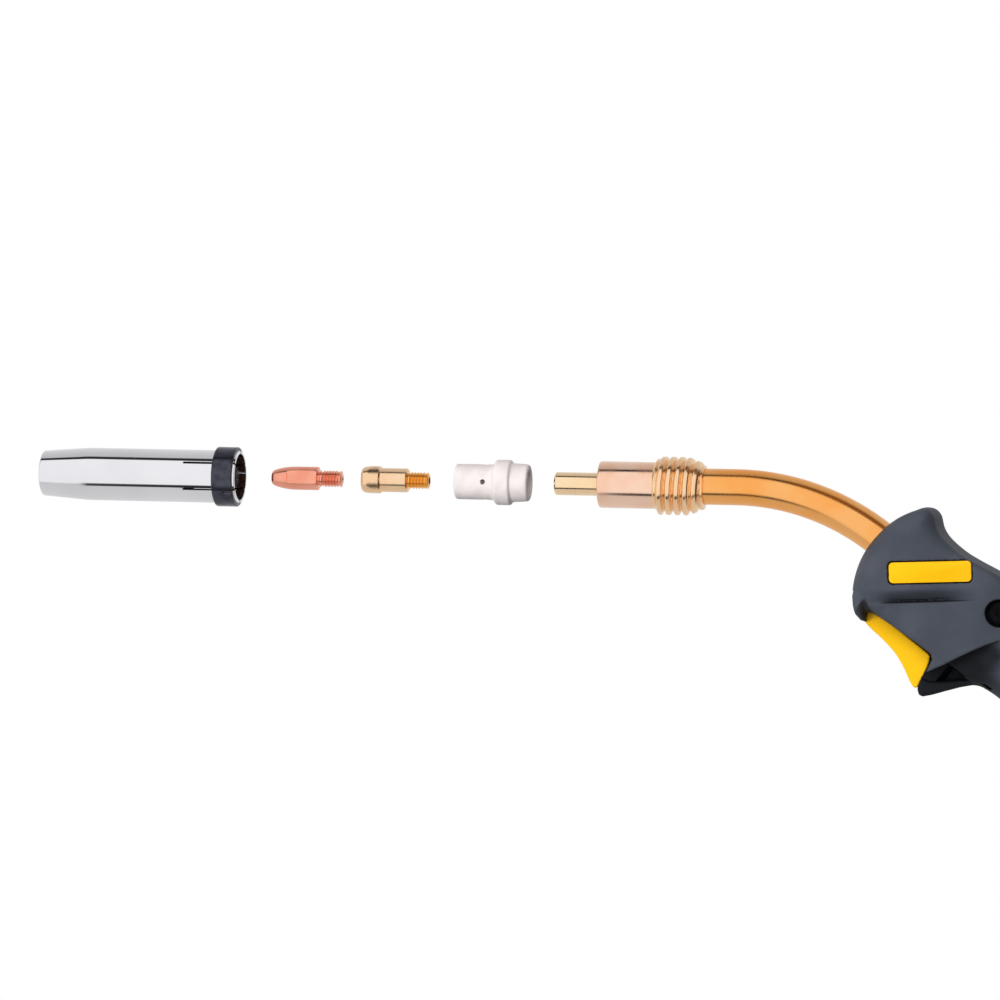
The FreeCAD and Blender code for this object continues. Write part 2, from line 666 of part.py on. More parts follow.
def make_inner_tube():
    """Brass tube for current and gas, with the adaptor's socket at its front."""
    front = "-tube_projection"
    skin, bore = bent_tube("inner_tube", "inner_tube_radius", "inner_tube_bore", front,
                           "block_start + block_front_socket - seat_gap")
    socket = cylinder("tube_socket", "adaptor_thread_radius + adaptor_socket_play", "socket_depth + 1",
                      "%s - tube_projection - 1" % FACE_X, "0", AXIS_Z)
    edge = doc.addObject("Part::Cone", "tube_edge")
    edge.Placement = Placement(Vector(0, 0, 0), Rotation(Vector(0, 1, 0), 90))
    edge.setExpression("Radius1", bound("inner_tube_radius - inner_tube_chamfer"))
    edge.setExpression("Radius2", bound("inner_tube_radius + inner_tube_chamfer"))
    edge.setExpression("Height", bound("2 * inner_tube_chamfer"))
    edge.setExpression("Placement.Base.x", bound("%s - tube_projection" % FACE_X))
    edge.setExpression("Placement.Base.z", bound(AXIS_Z))
    around = cylinder("tube_edge_stock", "inner_tube_radius + 1", "inner_tube_chamfer",
                      "%s - tube_projection" % FACE_X, "0", AXIS_Z)
    chamfer = cut("tube_chamfer", around, [edge])
    return node(cut("inner_tube_piece", skin, [bore, socket, chamfer]), "inner_tube")


def make_wire_liner():
    """Liner that guides the wire from the cable to the adaptor."""
    skin, bore = bent_tube("wire_liner", "liner_radius", "liner_bore",
                           "-tube_projection + adaptor_thread_length + 1", "block_start + block_length")
    return node(cut("wire_liner_piece", skin, [bore]), "wire_liner")


def holder_screw_places():
    """Places of the holder's two screws along the neck's rear end."""
    return [HOLDER_START + " + holder_screw_inset",
            HOLDER_START + " + holder_length - holder_screw_inset"]


def make_neck_holder():
    """Block in the handle that clamps the neck's outer tube."""
    stock = box("holder_stock", (HOLDER_START, HOLDER_START + " + holder_length"),
                ("-holder_half_width", "holder_half_width"), ("-holder_bottom", "holder_top"))
    bore = cylinder("holder_bore", "outer_tube_radius + snug_gap", "holder_length + 2",
                    HOLDER_START + " - 1")
    tools = [bore]
    for number, place in enumerate(holder_screw_places(), 1):
        tools.append(cylinder("holder_thread_%d" % number, "holder_screw_radius + snug_gap", "holder_top",
                              place, "0", "outer_tube_radius", "Z"))
    piece = cut("neck_holder_piece", stock, tools)
    place_on_neck_end(piece)
    return node(piece, "neck_holder")


def make_holder_screws():
    """Two headless screws that press on the neck's outer tube."""
    pieces = []
    for number, place in enumerate(holder_screw_places(), 1):
        rod = cylinder("holder_screw_rod_%d" % number, "holder_screw_radius",
                       "holder_top - outer_tube_radius - snug_gap",
                       place, "0", "outer_tube_radius + snug_gap", "Z")
        socket = cylinder("holder_screw_socket_%d" % number, "holder_screw_radius / 2", "holder_top",
                          place, "0", "holder_top - holder_screw_radius / 2", "Z")
        pieces.append(cut("holder_screw_%d" % number, rod, [socket]))
    group = joined("holder_screws_piece", pieces)
    place_on_neck_end(group)
    return node(group, "holder_screws")


def make_power_block():
    """Brass block: socket for the brass tube in front, threaded socket for the cable behind."""
    front = "(inner_tube_radius + snug_gap)"
    step = "block_length - block_rear_socket"
    body = turned("power_block", [
        ("0", front), ("block_front_socket", front), ("block_front_socket", "liner_radius + slip_gap"),
        (step, "liner_radius + slip_gap"), (step, "block_rear_radius"),
        ("block_length", "block_rear_radius"), ("block_length", "block_radius"), ("0", "block_radius")])
    round_rims(body, (6, 7), "(block_radius - block_flat) / 2")
    flat = polygon_sketch(body, "block_hexagon", rectangle(
        "-1", "block_length + 1", "block_flat", "block_radius + 1"))
    cut_through(body, flat, HEXAGON_SIDES)
    return finish_on_neck_end(body, "block_start", "power_block")


def finish_on_neck_end(body, start, label):
    """Set a turned body behind the bend's end."""
    body.Placement = Placement(Vector(0, 0, 0), Rotation(Vector(0, 1, 0), 1))
    body.setExpression("Placement.Base.x", bound("%s + (%s) * cos%s" % (BEND_END_X, start, NECK_TURN)))
    body.setExpression("Placement.Base.z", bound("%s - (%s) * sin%s" % (BEND_END_Z, start, NECK_TURN)))
    body.setExpression("Placement.Rotation.Angle", bound(NECK_TURN))
    return node(body, label)


def make_block_cover():
    """Insulating sleeve round the power block, closed round the neck in front."""
    inner = "(block_radius + slip_gap)"
    outer = "(block_radius + slip_gap + cover_wall)"
    hole = "(%s + slip_gap)" % INSULATION_RADIUS
    end = "cover_overhang + block_length + cover_tail"
    body = turned("power_block_cover", [
        ("0", hole), ("cover_overhang - seat_gap", hole), ("cover_overhang - seat_gap", inner),
        (end, inner), (end, outer), ("0", outer)])
    round_rims(body, (4, 5), "cover_wall / 3")
    return finish_on_neck_end(body, "block_start - cover_overhang", "power_block_cover")


def make_neck_grommet():
    """Soft ring behind the handle's front hole, round the neck."""
    inner = "(outer_tube_radius + grommet_gap)"
    body = turned("neck_grommet", [
        ("0", inner), ("grommet_length", inner), ("grommet_length", "grommet_radius"),
        ("0", "grommet_radius")])
    round_rims(body, (2, 3), "grommet_length / 5")
    place_in_handle(body, "grommet_front")
    return node(body, "neck_grommet")


# Handle shells


def blend(place, knots):
    """Smooth curve through (place, value) knots, level at each knot."""
    if place <= knots[0][0]:
        return knots[0][1]
    for (left, left_value), (right, right_value) in zip(knots, knots[1:]):
        if place <= right:
            share = (1 - math.cos(math.pi * (place - left) / (right - left))) / 2
            return left_value + (right_value - left_value) * share
    return knots[-1][1]


class HandleForm:
    """Outer form of the handle: height, depth, half width and corner at any place of its axis."""

    def __init__(self):
        self.front = size("front_arc_place") - size("front_arc_radius")
        self.flat = self.front + size("dome_length")
        self.tail = size("handle_length") - size("bush_flange") - size("tail_length")
        crest = size("crest_place")
        waist = size("waist_place")
        self.top = [(size("hump_place"), size("hump_height")), (size("saddle_place"), size("saddle_height")),
                    (crest, size("crest_height")), (waist, size("waist_height")),
                    (self.tail, size("rear_height"))]
        self.bottom = [(size("cheek_end"), size("bottom_drop")), (crest, size("finger_drop")),
                       (size("palm_place"), size("palm_drop")), (waist, size("waist_height")),
                       (self.tail, size("rear_height"))]
        self.side = [(size("bulb_end"), size("bulb_half_width")), (crest, size("grip_half_width")),
                     (waist, size("waist_half_width")), (self.tail, size("rear_height"))]
        self.corners = [(self.front, size("dome_corner")), (size("hump_place"), size("bulb_corner")),
                        (size("bulb_end"), size("saddle_corner")), (size("cheek_end"), size("bulb_corner")),
                        (crest, size("grip_corner")), (size("palm_place"), size("palm_corner"))]

    def limits(self, place, inset=0):
        """Low edge, high edge, half width and corner radius at a place, less an inset."""
        radius = size("front_arc_radius")
        short = max(size("front_arc_place") - place, 0)
        reach = math.sqrt(radius ** 2 - short ** 2)
        high = min(reach - size("front_arc_drop"), blend(place, self.top)) - inset
        low = max(-reach - size("front_arc_drop"), -blend(place, self.bottom)) + inset
        half = blend(place, self.side)
        if place < self.flat:
            half *= math.sqrt(1 - ((self.flat - place) / (self.flat - self.front)) ** 2)
        if inset:
            half = min(half, size("cheek_half_width"))
        half -= inset
        corner = max(blend(place, self.corners) - inset, inset / 2)
        return low, high, half, min(corner, 0.9 * min((high - low) / 2, half))

    def outline(self, place, inset=0):
        """Rounded rectangle of the form, square to the handle's axis."""
        low, high, half, corner = self.limits(place, inset)
        skew = corner * (1 - math.sqrt(0.5))
        spots = [
            (half - corner, low), (half - skew, low + skew), (half, low + corner),
            (half, high - corner), (half - skew, high - skew), (half - corner, high),
            (corner - half, high), (skew - half, high - skew), (-half, high - corner),
            (-half, low + corner), (skew - half, low + skew), (corner - half, low)]
        points = [Vector(place, y, z) for y, z in spots]
        edges = []
        for k in range(0, len(points), 3):
            edges.append(Part.Arc(points[k], points[k + 1], points[k + 2]).toShape())
            edges.append(Part.LineSegment(points[k + 2], points[(k + 3) % len(points)]).toShape())
        return Part.Wire(edges)

    def loft(self, places, inset=0):
        """Solid through the outlines at the given places: smooth outside, straight-lined inside."""
        return Part.makeLoft([self.outline(place, inset) for place in places], True, inset > 0)

    def solid(self):
        """Whole form from nose to tail: three lofts that meet where the form runs level."""
        nose = [self.front + size("dome_length") * share
                for share in (0.03, 0.08, 0.15, 0.24, 0.35, 0.48, 0.64, 0.82, 1)]
        saddle, bulb, cheek = size("saddle_place"), size("bulb_end"), size("cheek_end")
        crest, palm, waist = size("crest_place"), size("palm_place"), size("waist_place")
        front = self.loft(nose + even(self.flat, saddle, 3)[1:])
        middle = self.loft(even(saddle, bulb, 2) + even(bulb, cheek, 2)[1:] + even(cheek, crest, 4)[1:])
        rear = self.loft(even(crest, palm, 2) + even(palm, waist, 3)[1:] + even(waist, self.tail, 4)[1:])
        return front.fuse([middle, rear])


def even(start, end, steps):
    """Evenly spaced places between two limits, both included."""
    return [start + (end - start) * k / steps for k in range(steps + 1)]


def rounded_face(corners, y=0):
    """Face in the side view from (x, z, radius) corners, each radius a tangent arc."""
    spots = [Vector(x, y, z) for x, z, _ in corners]
    count = len(spots)
    bends = []
    for k, spot in enumerate(spots):
        radius = corners[k][2]
        if not radius:
            bends.append((spot, None, spot))
            continue
        back = (spots[k - 1] - spot).normalize()
        ahead = (spots[(k + 1) % count] - spot).normalize()
        half_angle = back.getAngle(ahead) / 2
        reach = radius / math.tan(half_angle)
        inward = (back + ahead).normalize()
        middle = spot + inward * (radius / math.sin(half_angle) - radius)
        bends.append((spot + back * reach, middle, spot + ahead * reach))
    edges = []
    for k, (start, middle, end) in enumerate(bends):
        if middle:
            edges.append(Part.Arc(start, middle, end).toShape())
        after = bends[(k + 1) % count][0]
        if (after - end).Length > 1e-6:
            edges.append(Part.LineSegment(end, after).toShape())
    return Part.Face(Part.Wire(edges))


def prism(corners, half_width):
    """Rounded outline of the side view, as wide as the half width on each side."""
    return rounded_face(corners, -half_width).extrude(Vector(0, 2 * half_width, 0))


def block(x, y, z):
    """Box between three pairs of limits."""
    return Part.makeBox(x[1] - x[0], y[1] - y[0], z[1] - z[0], Vector(x[0], y[0], z[0]))


def cross_rod(x, z, radius, low, high):
    """Round rod along the cross axis between two limits."""
    return Part.makeCylinder(radius, high - low, Vector(x, low, z), Vector(0, 1, 0))


def side_block(x, y, z):
    """Box of the left half, y being its near and far limit from the mid plane."""
    return block(x, (-y[1], -y[0]), z)


def side_rod(x, z, radius, near, far):
    """Cross rod of the left half, between two distances from the mid plane."""
    return cross_rod(x, z, radius, -far, -near)


# Place, height and recess floor of each shell screw, as expressions on the sizes
SCREWS = (("front_screw_place", "front_screw_height", "screw_recess_floor"),
          ("middle_screw_place", "rear_screw_height", "rear_recess_floor"),
          ("(handle_length - rear_screw_setback)", "rear_screw_height", "rear_recess_floor"))


def screw_spots():
    """Place, height and recess floor of each shell screw, in millimetres."""
    rear = size("handle_length") - size("rear_screw_setback")
    height, floor = size("rear_screw_height"), size("rear_recess_floor")
    return [(size("front_screw_place"), size("front_screw_height"), size("screw_recess_floor")),
            (size("middle_screw_place"), height, floor), (rear, height, floor)]


def guard_corners():
    """Side view of the finger guard below and behind the trigger."""
    place, drop = size("guard_place"), size("guard_drop")
    edge = size("trigger_end") + size("trigger_slot_gap")
    rear = size("guard_root_place")
    return [(edge - 2, -size("pin_drop") + 2, 0), (edge, -size("bottom_drop") - 0.5, 0),
            (place - 2.8, -drop + 1.4, 1.2), (place, -drop, 1.3), (rear, -size("guard_root_drop"), 14),
            (rear + 11, -size("finger_drop") + 1.6, 0), (rear + 11, -size("pin_drop") + 6, 0)]


def lip_corners():
    """Side view of the hook in front of the trigger."""
    place, drop = size("lip_place"), size("lip_drop")
    return [(place - 9.4, -size("pin_drop") + 1, 0), (place - 8.2, -size("bottom_drop"), 6),
            (place - 4.2, -drop, 3), (place, -drop + 0.1, 0.6),
            (place - 2, -size("bottom_drop") + 0.4, 0), (place - 3, -size("pin_drop") + 1, 0)]


def trigger_slot():
    """Room for the trigger: its slot, and the arc that its rear end swings through."""
    half = size("trigger_half_width") + size("trigger_slot_gap")
    lip, end = size("lip_place"), size("trigger_end")
    roof = size("throat_drop") - 0.2
    slot = prism([(lip - 4.6, -roof, 0), (lip - 2.3, -size("bottom_drop") + 0.4, 0),
                  (lip + 0.4, -size("lip_drop") - 1, 0), (lip + 0.4, -size("guard_drop") - 3, 0),
                  (end, -size("guard_drop") - 3, 0), (end, -roof, 0)], half)
    tip_reach = math.hypot(size("trigger_tip_place") - size("pin_place"),
                           size("trigger_tip_drop") - size("pin_drop"))
    swing = cross_rod(size("pin_place"), -size("pin_drop"), tip_reach + size("trigger_slot_gap"), -half, half)
    sector = block((end - 1, size("guard_root_place")), (-half, half),
                   (-size("trigger_tip_drop") - size("trigger_slot_gap"), -roof))
    return [slot, swing.common(sector)]


def label_recess():
    """Recess of the left label plate."""
    length = size("label_length") / 2 + size("label_gap")
    height = size("label_height") / 2 + size("label_gap")
    corner = size("label_corner") + size("label_gap")
    face = rounded_face([(-length, -height, corner), (length, -height, corner),
                         (length, height, corner), (-length, height, corner)])
    recess = face.extrude(Vector(0, size("bulb_half_width"), 0))
    floor = size("bulb_half_width") - size("label_sunk") - size("label_thickness")
    recess.Placement = Placement(
        Vector(size("label_place"), -floor - size("bulb_half_width"), size("label_rise")),
        Rotation(Vector(0, 1, 0), -size("label_turn")))
    return recess


def outer_handle(form):
    """Outside of the handle: bulb, cheeks, scoop, guard, grip and round tail."""
    far = size("bulb_half_width") + 4
    body = form.solid()
    tail_end = size("handle_length") - size("bush_flange")
    tail = Part.makeCylinder(size("tail_radius"), tail_end - form.tail + 6,
                             Vector(form.tail - 6, 0, 0), Vector(1, 0, 0))
    guard = prism(guard_corners(), size("guard_half_width"))
    edge = size("trigger_end") + size("trigger_slot_gap")
    tip = size("guard_drop") - 5.2
    tongue = prism([(edge - 1.4, -size("pin_drop"), 0), (edge, -size("bottom_drop") - 0.5, 0),
                    (edge + 1.5, -tip, 0.8), (edge + 6, -size("bottom_drop") + 1, 2),
                    (edge + 8, -size("pin_drop") + 4, 0)], size("scoop_half_width"))
    lip = prism(lip_corners(), size("trigger_half_width") + 2)
    body = body.fuse([tail, guard, tongue, lip])
    crease = [(5.5, -24, 0), (size("crease_place"), -size("crease_drop"), 0), (50, 14.5, 0), (50, -50, 0),
              (5.5, -50, 0)]
    scoop = [(edge + 1.5, -tip - 0.6, 0), (size("scoop_place"), -size("scoop_top"), 2),
             (size("scoop_place") + 3.2, -size("scoop_top"), 1.2), (size("scoop_place") + 3.4, -22, 0),
             (size("scoop_place") - 2, -40, 0)]
    cuts = []
    for corners, inner in ((crease, size("cheek_half_width")), (scoop, size("scoop_half_width"))):
        for start in (inner, -far):
            cuts.append(rounded_face(corners, start).extrude(Vector(0, far - inner, 0)))
    return body.cut(cuts)


def handle_room(form):
    """Rooms inside the handle: front chamber, throat and grip."""
    wall = size("wall")
    start = size("grommet_front") - size("seat_gap")
    saddle, crest, waist = size("saddle_place"), size("crest_place"), size("waist_place")
    front = form.loft(even(start, saddle, 6) + even(saddle, size("cheek_end") - 1.5, 3)[1:], wall)
    grip = form.loft(even(size("scoop_place") + 3.4 + wall / 2, crest, 2) + even(crest, waist, 4)[1:]
                     + even(waist, form.tail - 3, 3)[1:], wall)
    throat = block((size("cheek_end") - 4, size("scoop_place") + 7),
                   (-size("throat_half_width"), size("throat_half_width")),
                   (-size("throat_drop"), size("saddle_height") - wall))
    neck = Part.makeCylinder(size("outer_tube_radius") + size("snug_gap") + size("slip_gap"),
                             2 * size("dome_length"), Vector(-size("dome_length"), 0, 0), Vector(1, 0, 0))
    inlet = Part.makeCylinder(size("bush_radius") + size("snug_gap"), 2 * size("bush_length"),
                              Vector(size("handle_length") - size("bush_length") - size("seat_gap"), 0, 0),
                              Vector(1, 0, 0))
    return [front, grip, throat, neck, inlet] + trigger_slot()


def handle_ribs():
    """Pads, bosses and seats inside the left half."""
    root = size("cheek_half_width") - size("wall") / 2
    gap = size("slip_gap")
    start = size("grommet_front") + size("grommet_length") + size("holder_gap")
    inset = size("holder_pad_inset")
    ribs = [side_block((start + inset, start + size("holder_length") - inset),
                       (size("holder_half_width") + gap, root), (-6, 6))]
    switch = size("switch_front")
    ribs.append(side_block((switch + 0.4, switch + size("switch_length") - 0.4),
                           (size("switch_half_width") + gap, root),
                           (0.3 - size("switch_drop"), size("switch_height") - size("switch_drop") - 0.3)))
    seat = size("spring_seat_drop")
    ribs.append(side_block((size("spring_place") - size("spring_radius"),
                            size("spring_place") + size("spring_radius")), (0, root),
                           (-seat, -seat + size("spring_seat_thickness"))))
    ribs.append(side_rod(size("pin_place"), -size("pin_drop"), size("ear_radius"),
                         size("trigger_half_width") + size("trigger_slot_gap"), root))
    place = size("handle_length") - size("connector_setback")
    drop = size("connector_drop")
    ribs.append(side_block((place + 2, place + size("connector_length") - 2),
                           (0, size("connector_half_width")), (-drop - size("connector_rest"), -drop - gap)))
    for place, height, floor in screw_spots():
        ribs.append(side_rod(place, height, size("boss_radius"), 0, floor + 1))
        if floor < size("throat_half_width"):
            ribs.append(side_rod(place, height, size("screw_recess_radius") + size("wall") / 2,
                                 floor - size("wall") + 0.4, size("waist_half_width") - 1))
    return ribs


def pin_bores():
    """Bores in the left half for the trigger's pin and the two pins of the switch."""
    fit = size("snug_gap")
    bores = [side_rod(size("pin_place"), -size("pin_drop"), size("pin_radius") + fit,
                      0, size("pin_half_length"))]
    for inset in (size("switch_pin_inset"), size("switch_length") - size("switch_pin_inset")):
        bores.append(side_rod(size("switch_front") + inset, size("switch_pin_rise") - size("switch_drop"),
                              size("switch_pin_radius") + fit, 0, size("switch_pin_half") + fit))
    return bores + [label_recess()]


def in_handle_frame(name, shape, label):
    """Sub-part from a shape drawn in the handle's frame."""
    piece = doc.addObject("Part::Feature", name)
    piece.Shape = shape
    piece.Placement = Placement(Vector(0, 0, 0), Rotation(Vector(0, 1, 0), size("handle_pitch")))
    origin = piece.Placement.multVec(Vector(-size("handle_length"), 0, 0))
    piece.Placement = Placement(origin, piece.Placement.Rotation)
    return node(piece, label)


def make_handle_shells():
    """Both moulded halves: the same half form, then the screws' side and the inserts' side."""
    form = HandleForm()
    fit = size("snug_gap")
    far = 2 * size("handle_length")
    outside = outer_handle(form).common(block((-far, far), (-far, 0), (-far, far)))
    ribs = [rib.common(outside) for rib in handle_ribs()]
    half = outside.cut(handle_room(form)).fuse(ribs).cut(pin_bores())
    heads, threads = [], []
    for place, height, floor in screw_spots():
        heads.append(side_rod(place, height, size("screw_recess_radius"), floor,
                              size("bulb_half_width") + 5))
        heads.append(side_rod(place, height, size("screw_radius") + fit, 0, floor))
        threads.append(cross_rod(place, height, size("screw_radius") + fit, 0, size("screw_reach") + fit))
        threads.append(cross_rod(place, height, size("insert_radius") + fit, size("insert_start"),
                                 size("insert_start") + size("insert_length") + fit))
    mirrored = half.mirror(Vector(0, 0, 0), Vector(0, 1, 0))
    in_handle_frame("handle_shell_left", half.cut(heads), "handle_shell_left")
    in_handle_frame("handle_shell_right", mirrored.cut(threads), "handle_shell_right")


# Pieces of the trigger


def padded(name, sketch_maker, half_width):
    """Body from an outline of the side view, as wide as the half width on each side."""
    body = doc.addObject("PartDesign::Body", name)
    pad = body.newObject("PartDesign::Pad", name + "_pad")
    pad.Profile = sketch_maker(body)
    pad.Midplane = True
    pad.setExpression("Length", bound("2 * (%s)" % half_width))
    doc.recompute()
    return body


def make_trigger():
    """Hollow trigger with a hook, two hinge ears and the rib that presses the switch."""
    skin = size("trigger_skin")
    lip, end = size("lip_place"), size("trigger_end")
    tip_place, tip_drop = size("trigger_tip_place"), size("trigger_tip_drop")
    top = -size("trigger_top_drop")
    pin, drop = size("pin_place"), size("pin_drop")
    low = -size("trigger_drop")
    half = size("trigger_half_width")
    bar = prism([(lip - 1.2, top, 0), (lip - 0.8, -size("bottom_drop") + 0.1, 0.6),
                 (lip + 1.6, low + 0.3, 2), (pin + 12, low - 0.6, 25), (end - 5.6, low - 2.4, 14),
                 (tip_place - 1.4, -tip_drop - 0.6, 0.6), (tip_place, -tip_drop, 0.6),
                 (end + 0.2, -size("bottom_drop") - 0.8, 1.5), (end, top, 0)], half)
    edges = []
    for edge in bar.Edges:
        across = abs(abs(edge.CenterOfMass.y) - half) < 1e-6
        outside = edge.CenterOfMass.z < low + 1.5 and edge.Length > 3
        if across and outside:
            edges.append(edge)
    bar = bar.makeFillet(size("trigger_round"), edges)
    ear = cross_rod(pin, -drop, size("ear_radius"), -half, half)
    foot = -size("spring_foot_drop")
    room = prism([(pin + 3.2, top + 4, 0), (pin + 3.2, low + skin, 0), (pin + 12, low + skin, 0),
                  (end - 7, foot, 0), (end - skin, foot, 0), (end - skin, top + 4, 0)], half - skin)
    ear_room = block((pin + 3.2, end), (-half + skin, half - skin), (top - 1, -drop + size("ear_radius") + 1))
    press = size("plunger_place")
    rib = block((press - 0.8, press + 0.8), (-half + skin / 2, half - skin / 2),
                (low + skin / 2, -size("plunger_tip_drop") - size("press_gap")))
    body = bar.fuse(ear).cut([room, ear_room]).fuse(rib)
    bore = cross_rod(pin, -drop, size("pin_radius") + size("snug_gap"), -half - 1, half + 1)
    in_handle_frame("trigger", body.cut(bore), "trigger")


def make_trigger_pin():
    """Hinge pin of the trigger."""
    pin = padded("trigger_pin", lambda body: circle_sketch(body, "pin_profile", "0", "0", "pin_radius"),
                 "pin_half_length - slip_gap")
    place_in_handle(pin, "pin_place", "-pin_drop")
    return node(pin, "trigger_pin")


def make_trigger_spring():
    """Return spring of the trigger, drawn as the tube that it fills."""
    length = "spring_foot_drop - spring_seat_drop - 2 * seat_gap"
    foot = "-spring_foot_drop + seat_gap"
    rod = cylinder("spring_rod", "spring_radius", length, "spring_place", "0", foot, "Z")
    room = cylinder("spring_room", "spring_radius - spring_wire", length + " + 2", "spring_place", "0",
                    foot + " - 1", "Z")
    spring = cut("trigger_spring_piece", rod, [room])
    place_in_handle(spring)
    return node(spring, "trigger_spring")


def make_switch():
    """Microswitch: case, plunger, two pins that hold it, two terminals."""
    top = "-switch_drop + switch_height"
    case = box("switch_stock", ("switch_front", "switch_front + switch_length"),
               ("-switch_half_width", "switch_half_width"), ("-switch_drop", top))
    slot = box("switch_slot", ("plunger_place - plunger_length / 2 - snug_gap",
                               "plunger_place + plunger_length / 2 + snug_gap"),
               ("-plunger_half_width - snug_gap", "plunger_half_width + snug_gap"),
               ("-switch_drop - 1", "-plunger_tip_drop + plunger_height + plunger_travel + seat_gap"))
    tools = [slot]
    pins = []
    for number, place in enumerate(("switch_front + switch_pin_inset",
                                    "switch_front + switch_length - switch_pin_inset"), 1):
        height = "-switch_drop + switch_pin_rise"
        tools.append(cylinder("switch_bore_%d" % number, "switch_pin_radius + snug_gap",
                              "2 * switch_half_width + 2", place, "-switch_half_width - 1", height, "Y"))
        pins.append(cylinder("switch_pin_%d" % number, "switch_pin_radius", "2 * switch_pin_half",
                             place, "-switch_pin_half", height, "Y"))
    case_piece = cut("microswitch_case_piece", case, tools)
    place_in_handle(case_piece)
    node(case_piece, "microswitch_case")
    group = joined("switch_pins_piece", pins)
    place_in_handle(group)
    node(group, "switch_pins")
    blades = []
    for number, side in enumerate(("-lead_spread", "lead_spread"), 1):
        start = "switch_front + switch_length"
        blades.append(box("terminal_%d" % number, (start, start + " + terminal_length"),
                          (side + " - terminal_half_width", side + " + terminal_half_width"),
                          ("-lead_drop - terminal_thickness / 2", "-lead_drop + terminal_thickness / 2")))
    terminals = joined("switch_terminals_piece", blades)
    place_in_handle(terminals)
    node(terminals, "switch_terminals")
    half = "plunger_length / 2"
    plunger = padded("switch_plunger", lambda body: polygon_sketch(body, "plunger_profile", [
        ("-plunger_length / 4", "0"), (half, "0 + plunger_length / 4"), (half, "plunger_height"),
        ("-" + half, "plunger_height"), ("-" + half, "0 + plunger_length / 4")]), "plunger_half_width")
    place_in_handle(plunger, "plunger_place", "-plunger_tip_drop")
    return node(plunger, "switch_plunger")


def lead_route():
    """Points of a lead from the switch's terminal to the connector, in the side view."""
    start = size("switch_front") + size("switch_length") + size("terminal_length")
    drop = size("lead_drop")
    end = -size("connector_drop") + size("connector_height") / 2
    place = size("handle_length") - size("connector_setback")
    return [(start, -drop), (start + 8, -drop), (size("scoop_place") + 3, -drop + 1.6),
            (size("crest_place") + 16, -drop + 2.4), (size("palm_place") + 20, -drop + 2.8),
            (place - 10, end), (place, end)]


def make_switch_leads():
    """Two leads from the switch to the connector, each straight runs joined by tangent arcs."""
    leads = []
    for side in (-size("lead_spread"), size("lead_spread")):
        spots = [Vector(x, side, z) for x, z in lead_route()]
        edges = []
        previous = spots[0]
        for before, spot, after in zip(spots, spots[1:], spots[2:]):
            back, ahead = (before - spot), (after - spot)
            shorter = min(back.Length, ahead.Length)
            back.normalize()
            ahead.normalize()
            half_angle = back.getAngle(ahead) / 2
            reach = 0.45 * shorter
            radius = reach * math.tan(half_angle)
            inward = (back + ahead).normalize()
            middle = spot + inward * (radius / math.sin(half_angle) - radius)
            first, last = spot + back * reach, spot + ahead * reach
            edges.append(Part.LineSegment(previous, first).toShape())
            edges.append(Part.Arc(first, middle, last).toShape())
            previous = last
        edges.append(Part.LineSegment(previous, spots[-1]).toShape())
        circle = Part.Wire(Part.makeCircle(size("lead_radius"), spots[0], Vector(1, 0, 0)))
        leads.append(Part.Wire(edges).makePipeShell([circle], True, True))
    in_handle_frame("switch_leads", Part.makeCompound(leads), "switch_leads")


def make_connector():
    """Plug-in connector of the leads with its two contact pins."""
    end = CONNECTOR_PLACE + " + connector_length"
    stock = box("connector_stock", (CONNECTOR_PLACE, end),
                ("-connector_half_width", "connector_half_width"),
                ("-connector_drop", "-connector_drop + connector_height"))
    pocket = box("connector_pocket", (end + " - connector_pocket", end + " + 1"),
                 ("-connector_half_width + connector_wall", "connector_half_width - connector_wall"),
                 ("-connector_drop + connector_wall", "-connector_drop + connector_height - connector_wall"))
    tools = [pocket]
    pins = []
    for number, side in enumerate(("-lead_spread", "lead_spread"), 1):
        height = "-connector_drop + connector_height / 2"
        tools.append(cylinder("contact_bore_%d" % number, "contact_radius + snug_gap", "connector_length",
                              CONNECTOR_PLACE + " + seat_gap", side, height))
        pins.append(cylinder("contact_%d" % number, "contact_radius", "connector_length - 1 - seat_gap",
                             CONNECTOR_PLACE + " + 2 * seat_gap", side, height))
    piece = cut("lead_connector_piece", stock, tools)
    place_in_handle(piece)
    node(piece, "lead_connector")
    group = joined("connector_pins_piece", pins)
    place_in_handle(group)
    return node(group, "connector_pins")


# Rear end and fasteners


def make_rear_collar():
    """Ribbed ring that holds the shells' round tail together."""
    inner = "(tail_radius + snug_gap)"
    outer = "(tail_radius + collar_wall)"
    groove = "(tail_radius + collar_wall * 3 / 4)"
    outline = [("0", inner), ("collar_length", inner), ("collar_length", outer)]
    pitch = "collar_length / %d" % (2 * COLLAR_RIBS + 1)
    for rib in range(COLLAR_RIBS, 0, -1):
        for step, radius in ((2 * rib, outer), (2 * rib - 0.3, groove), (2 * rib - 0.7, groove),
                             (2 * rib - 1, outer)):
            outline.append(("%s * %.1f" % (pitch, step), radius))
    outline.append(("0", outer))
    body = turned("rear_collar", outline)
    place_in_handle(body, "handle_length - bush_flange - tail_length / 2 - collar_length / 2")
    return node(body, "rear_collar")


def make_inlet_bush():
    """Bush in the handle's rear end that takes the hose pack."""
    body = turned("cable_inlet_bush", [
        ("0", "inlet_radius"), ("bush_length", "inlet_radius"), ("bush_length", "bush_flange_radius"),
        ("bush_length - bush_flange", "bush_flange_radius"), ("bush_length - bush_flange", "bush_radius"),
        ("0", "bush_radius")])
    round_rims(body, (1, 2), "bush_flange / 3")
    place_in_handle(body, "handle_length - bush_length")
    return node(body, "cable_inlet_bush")


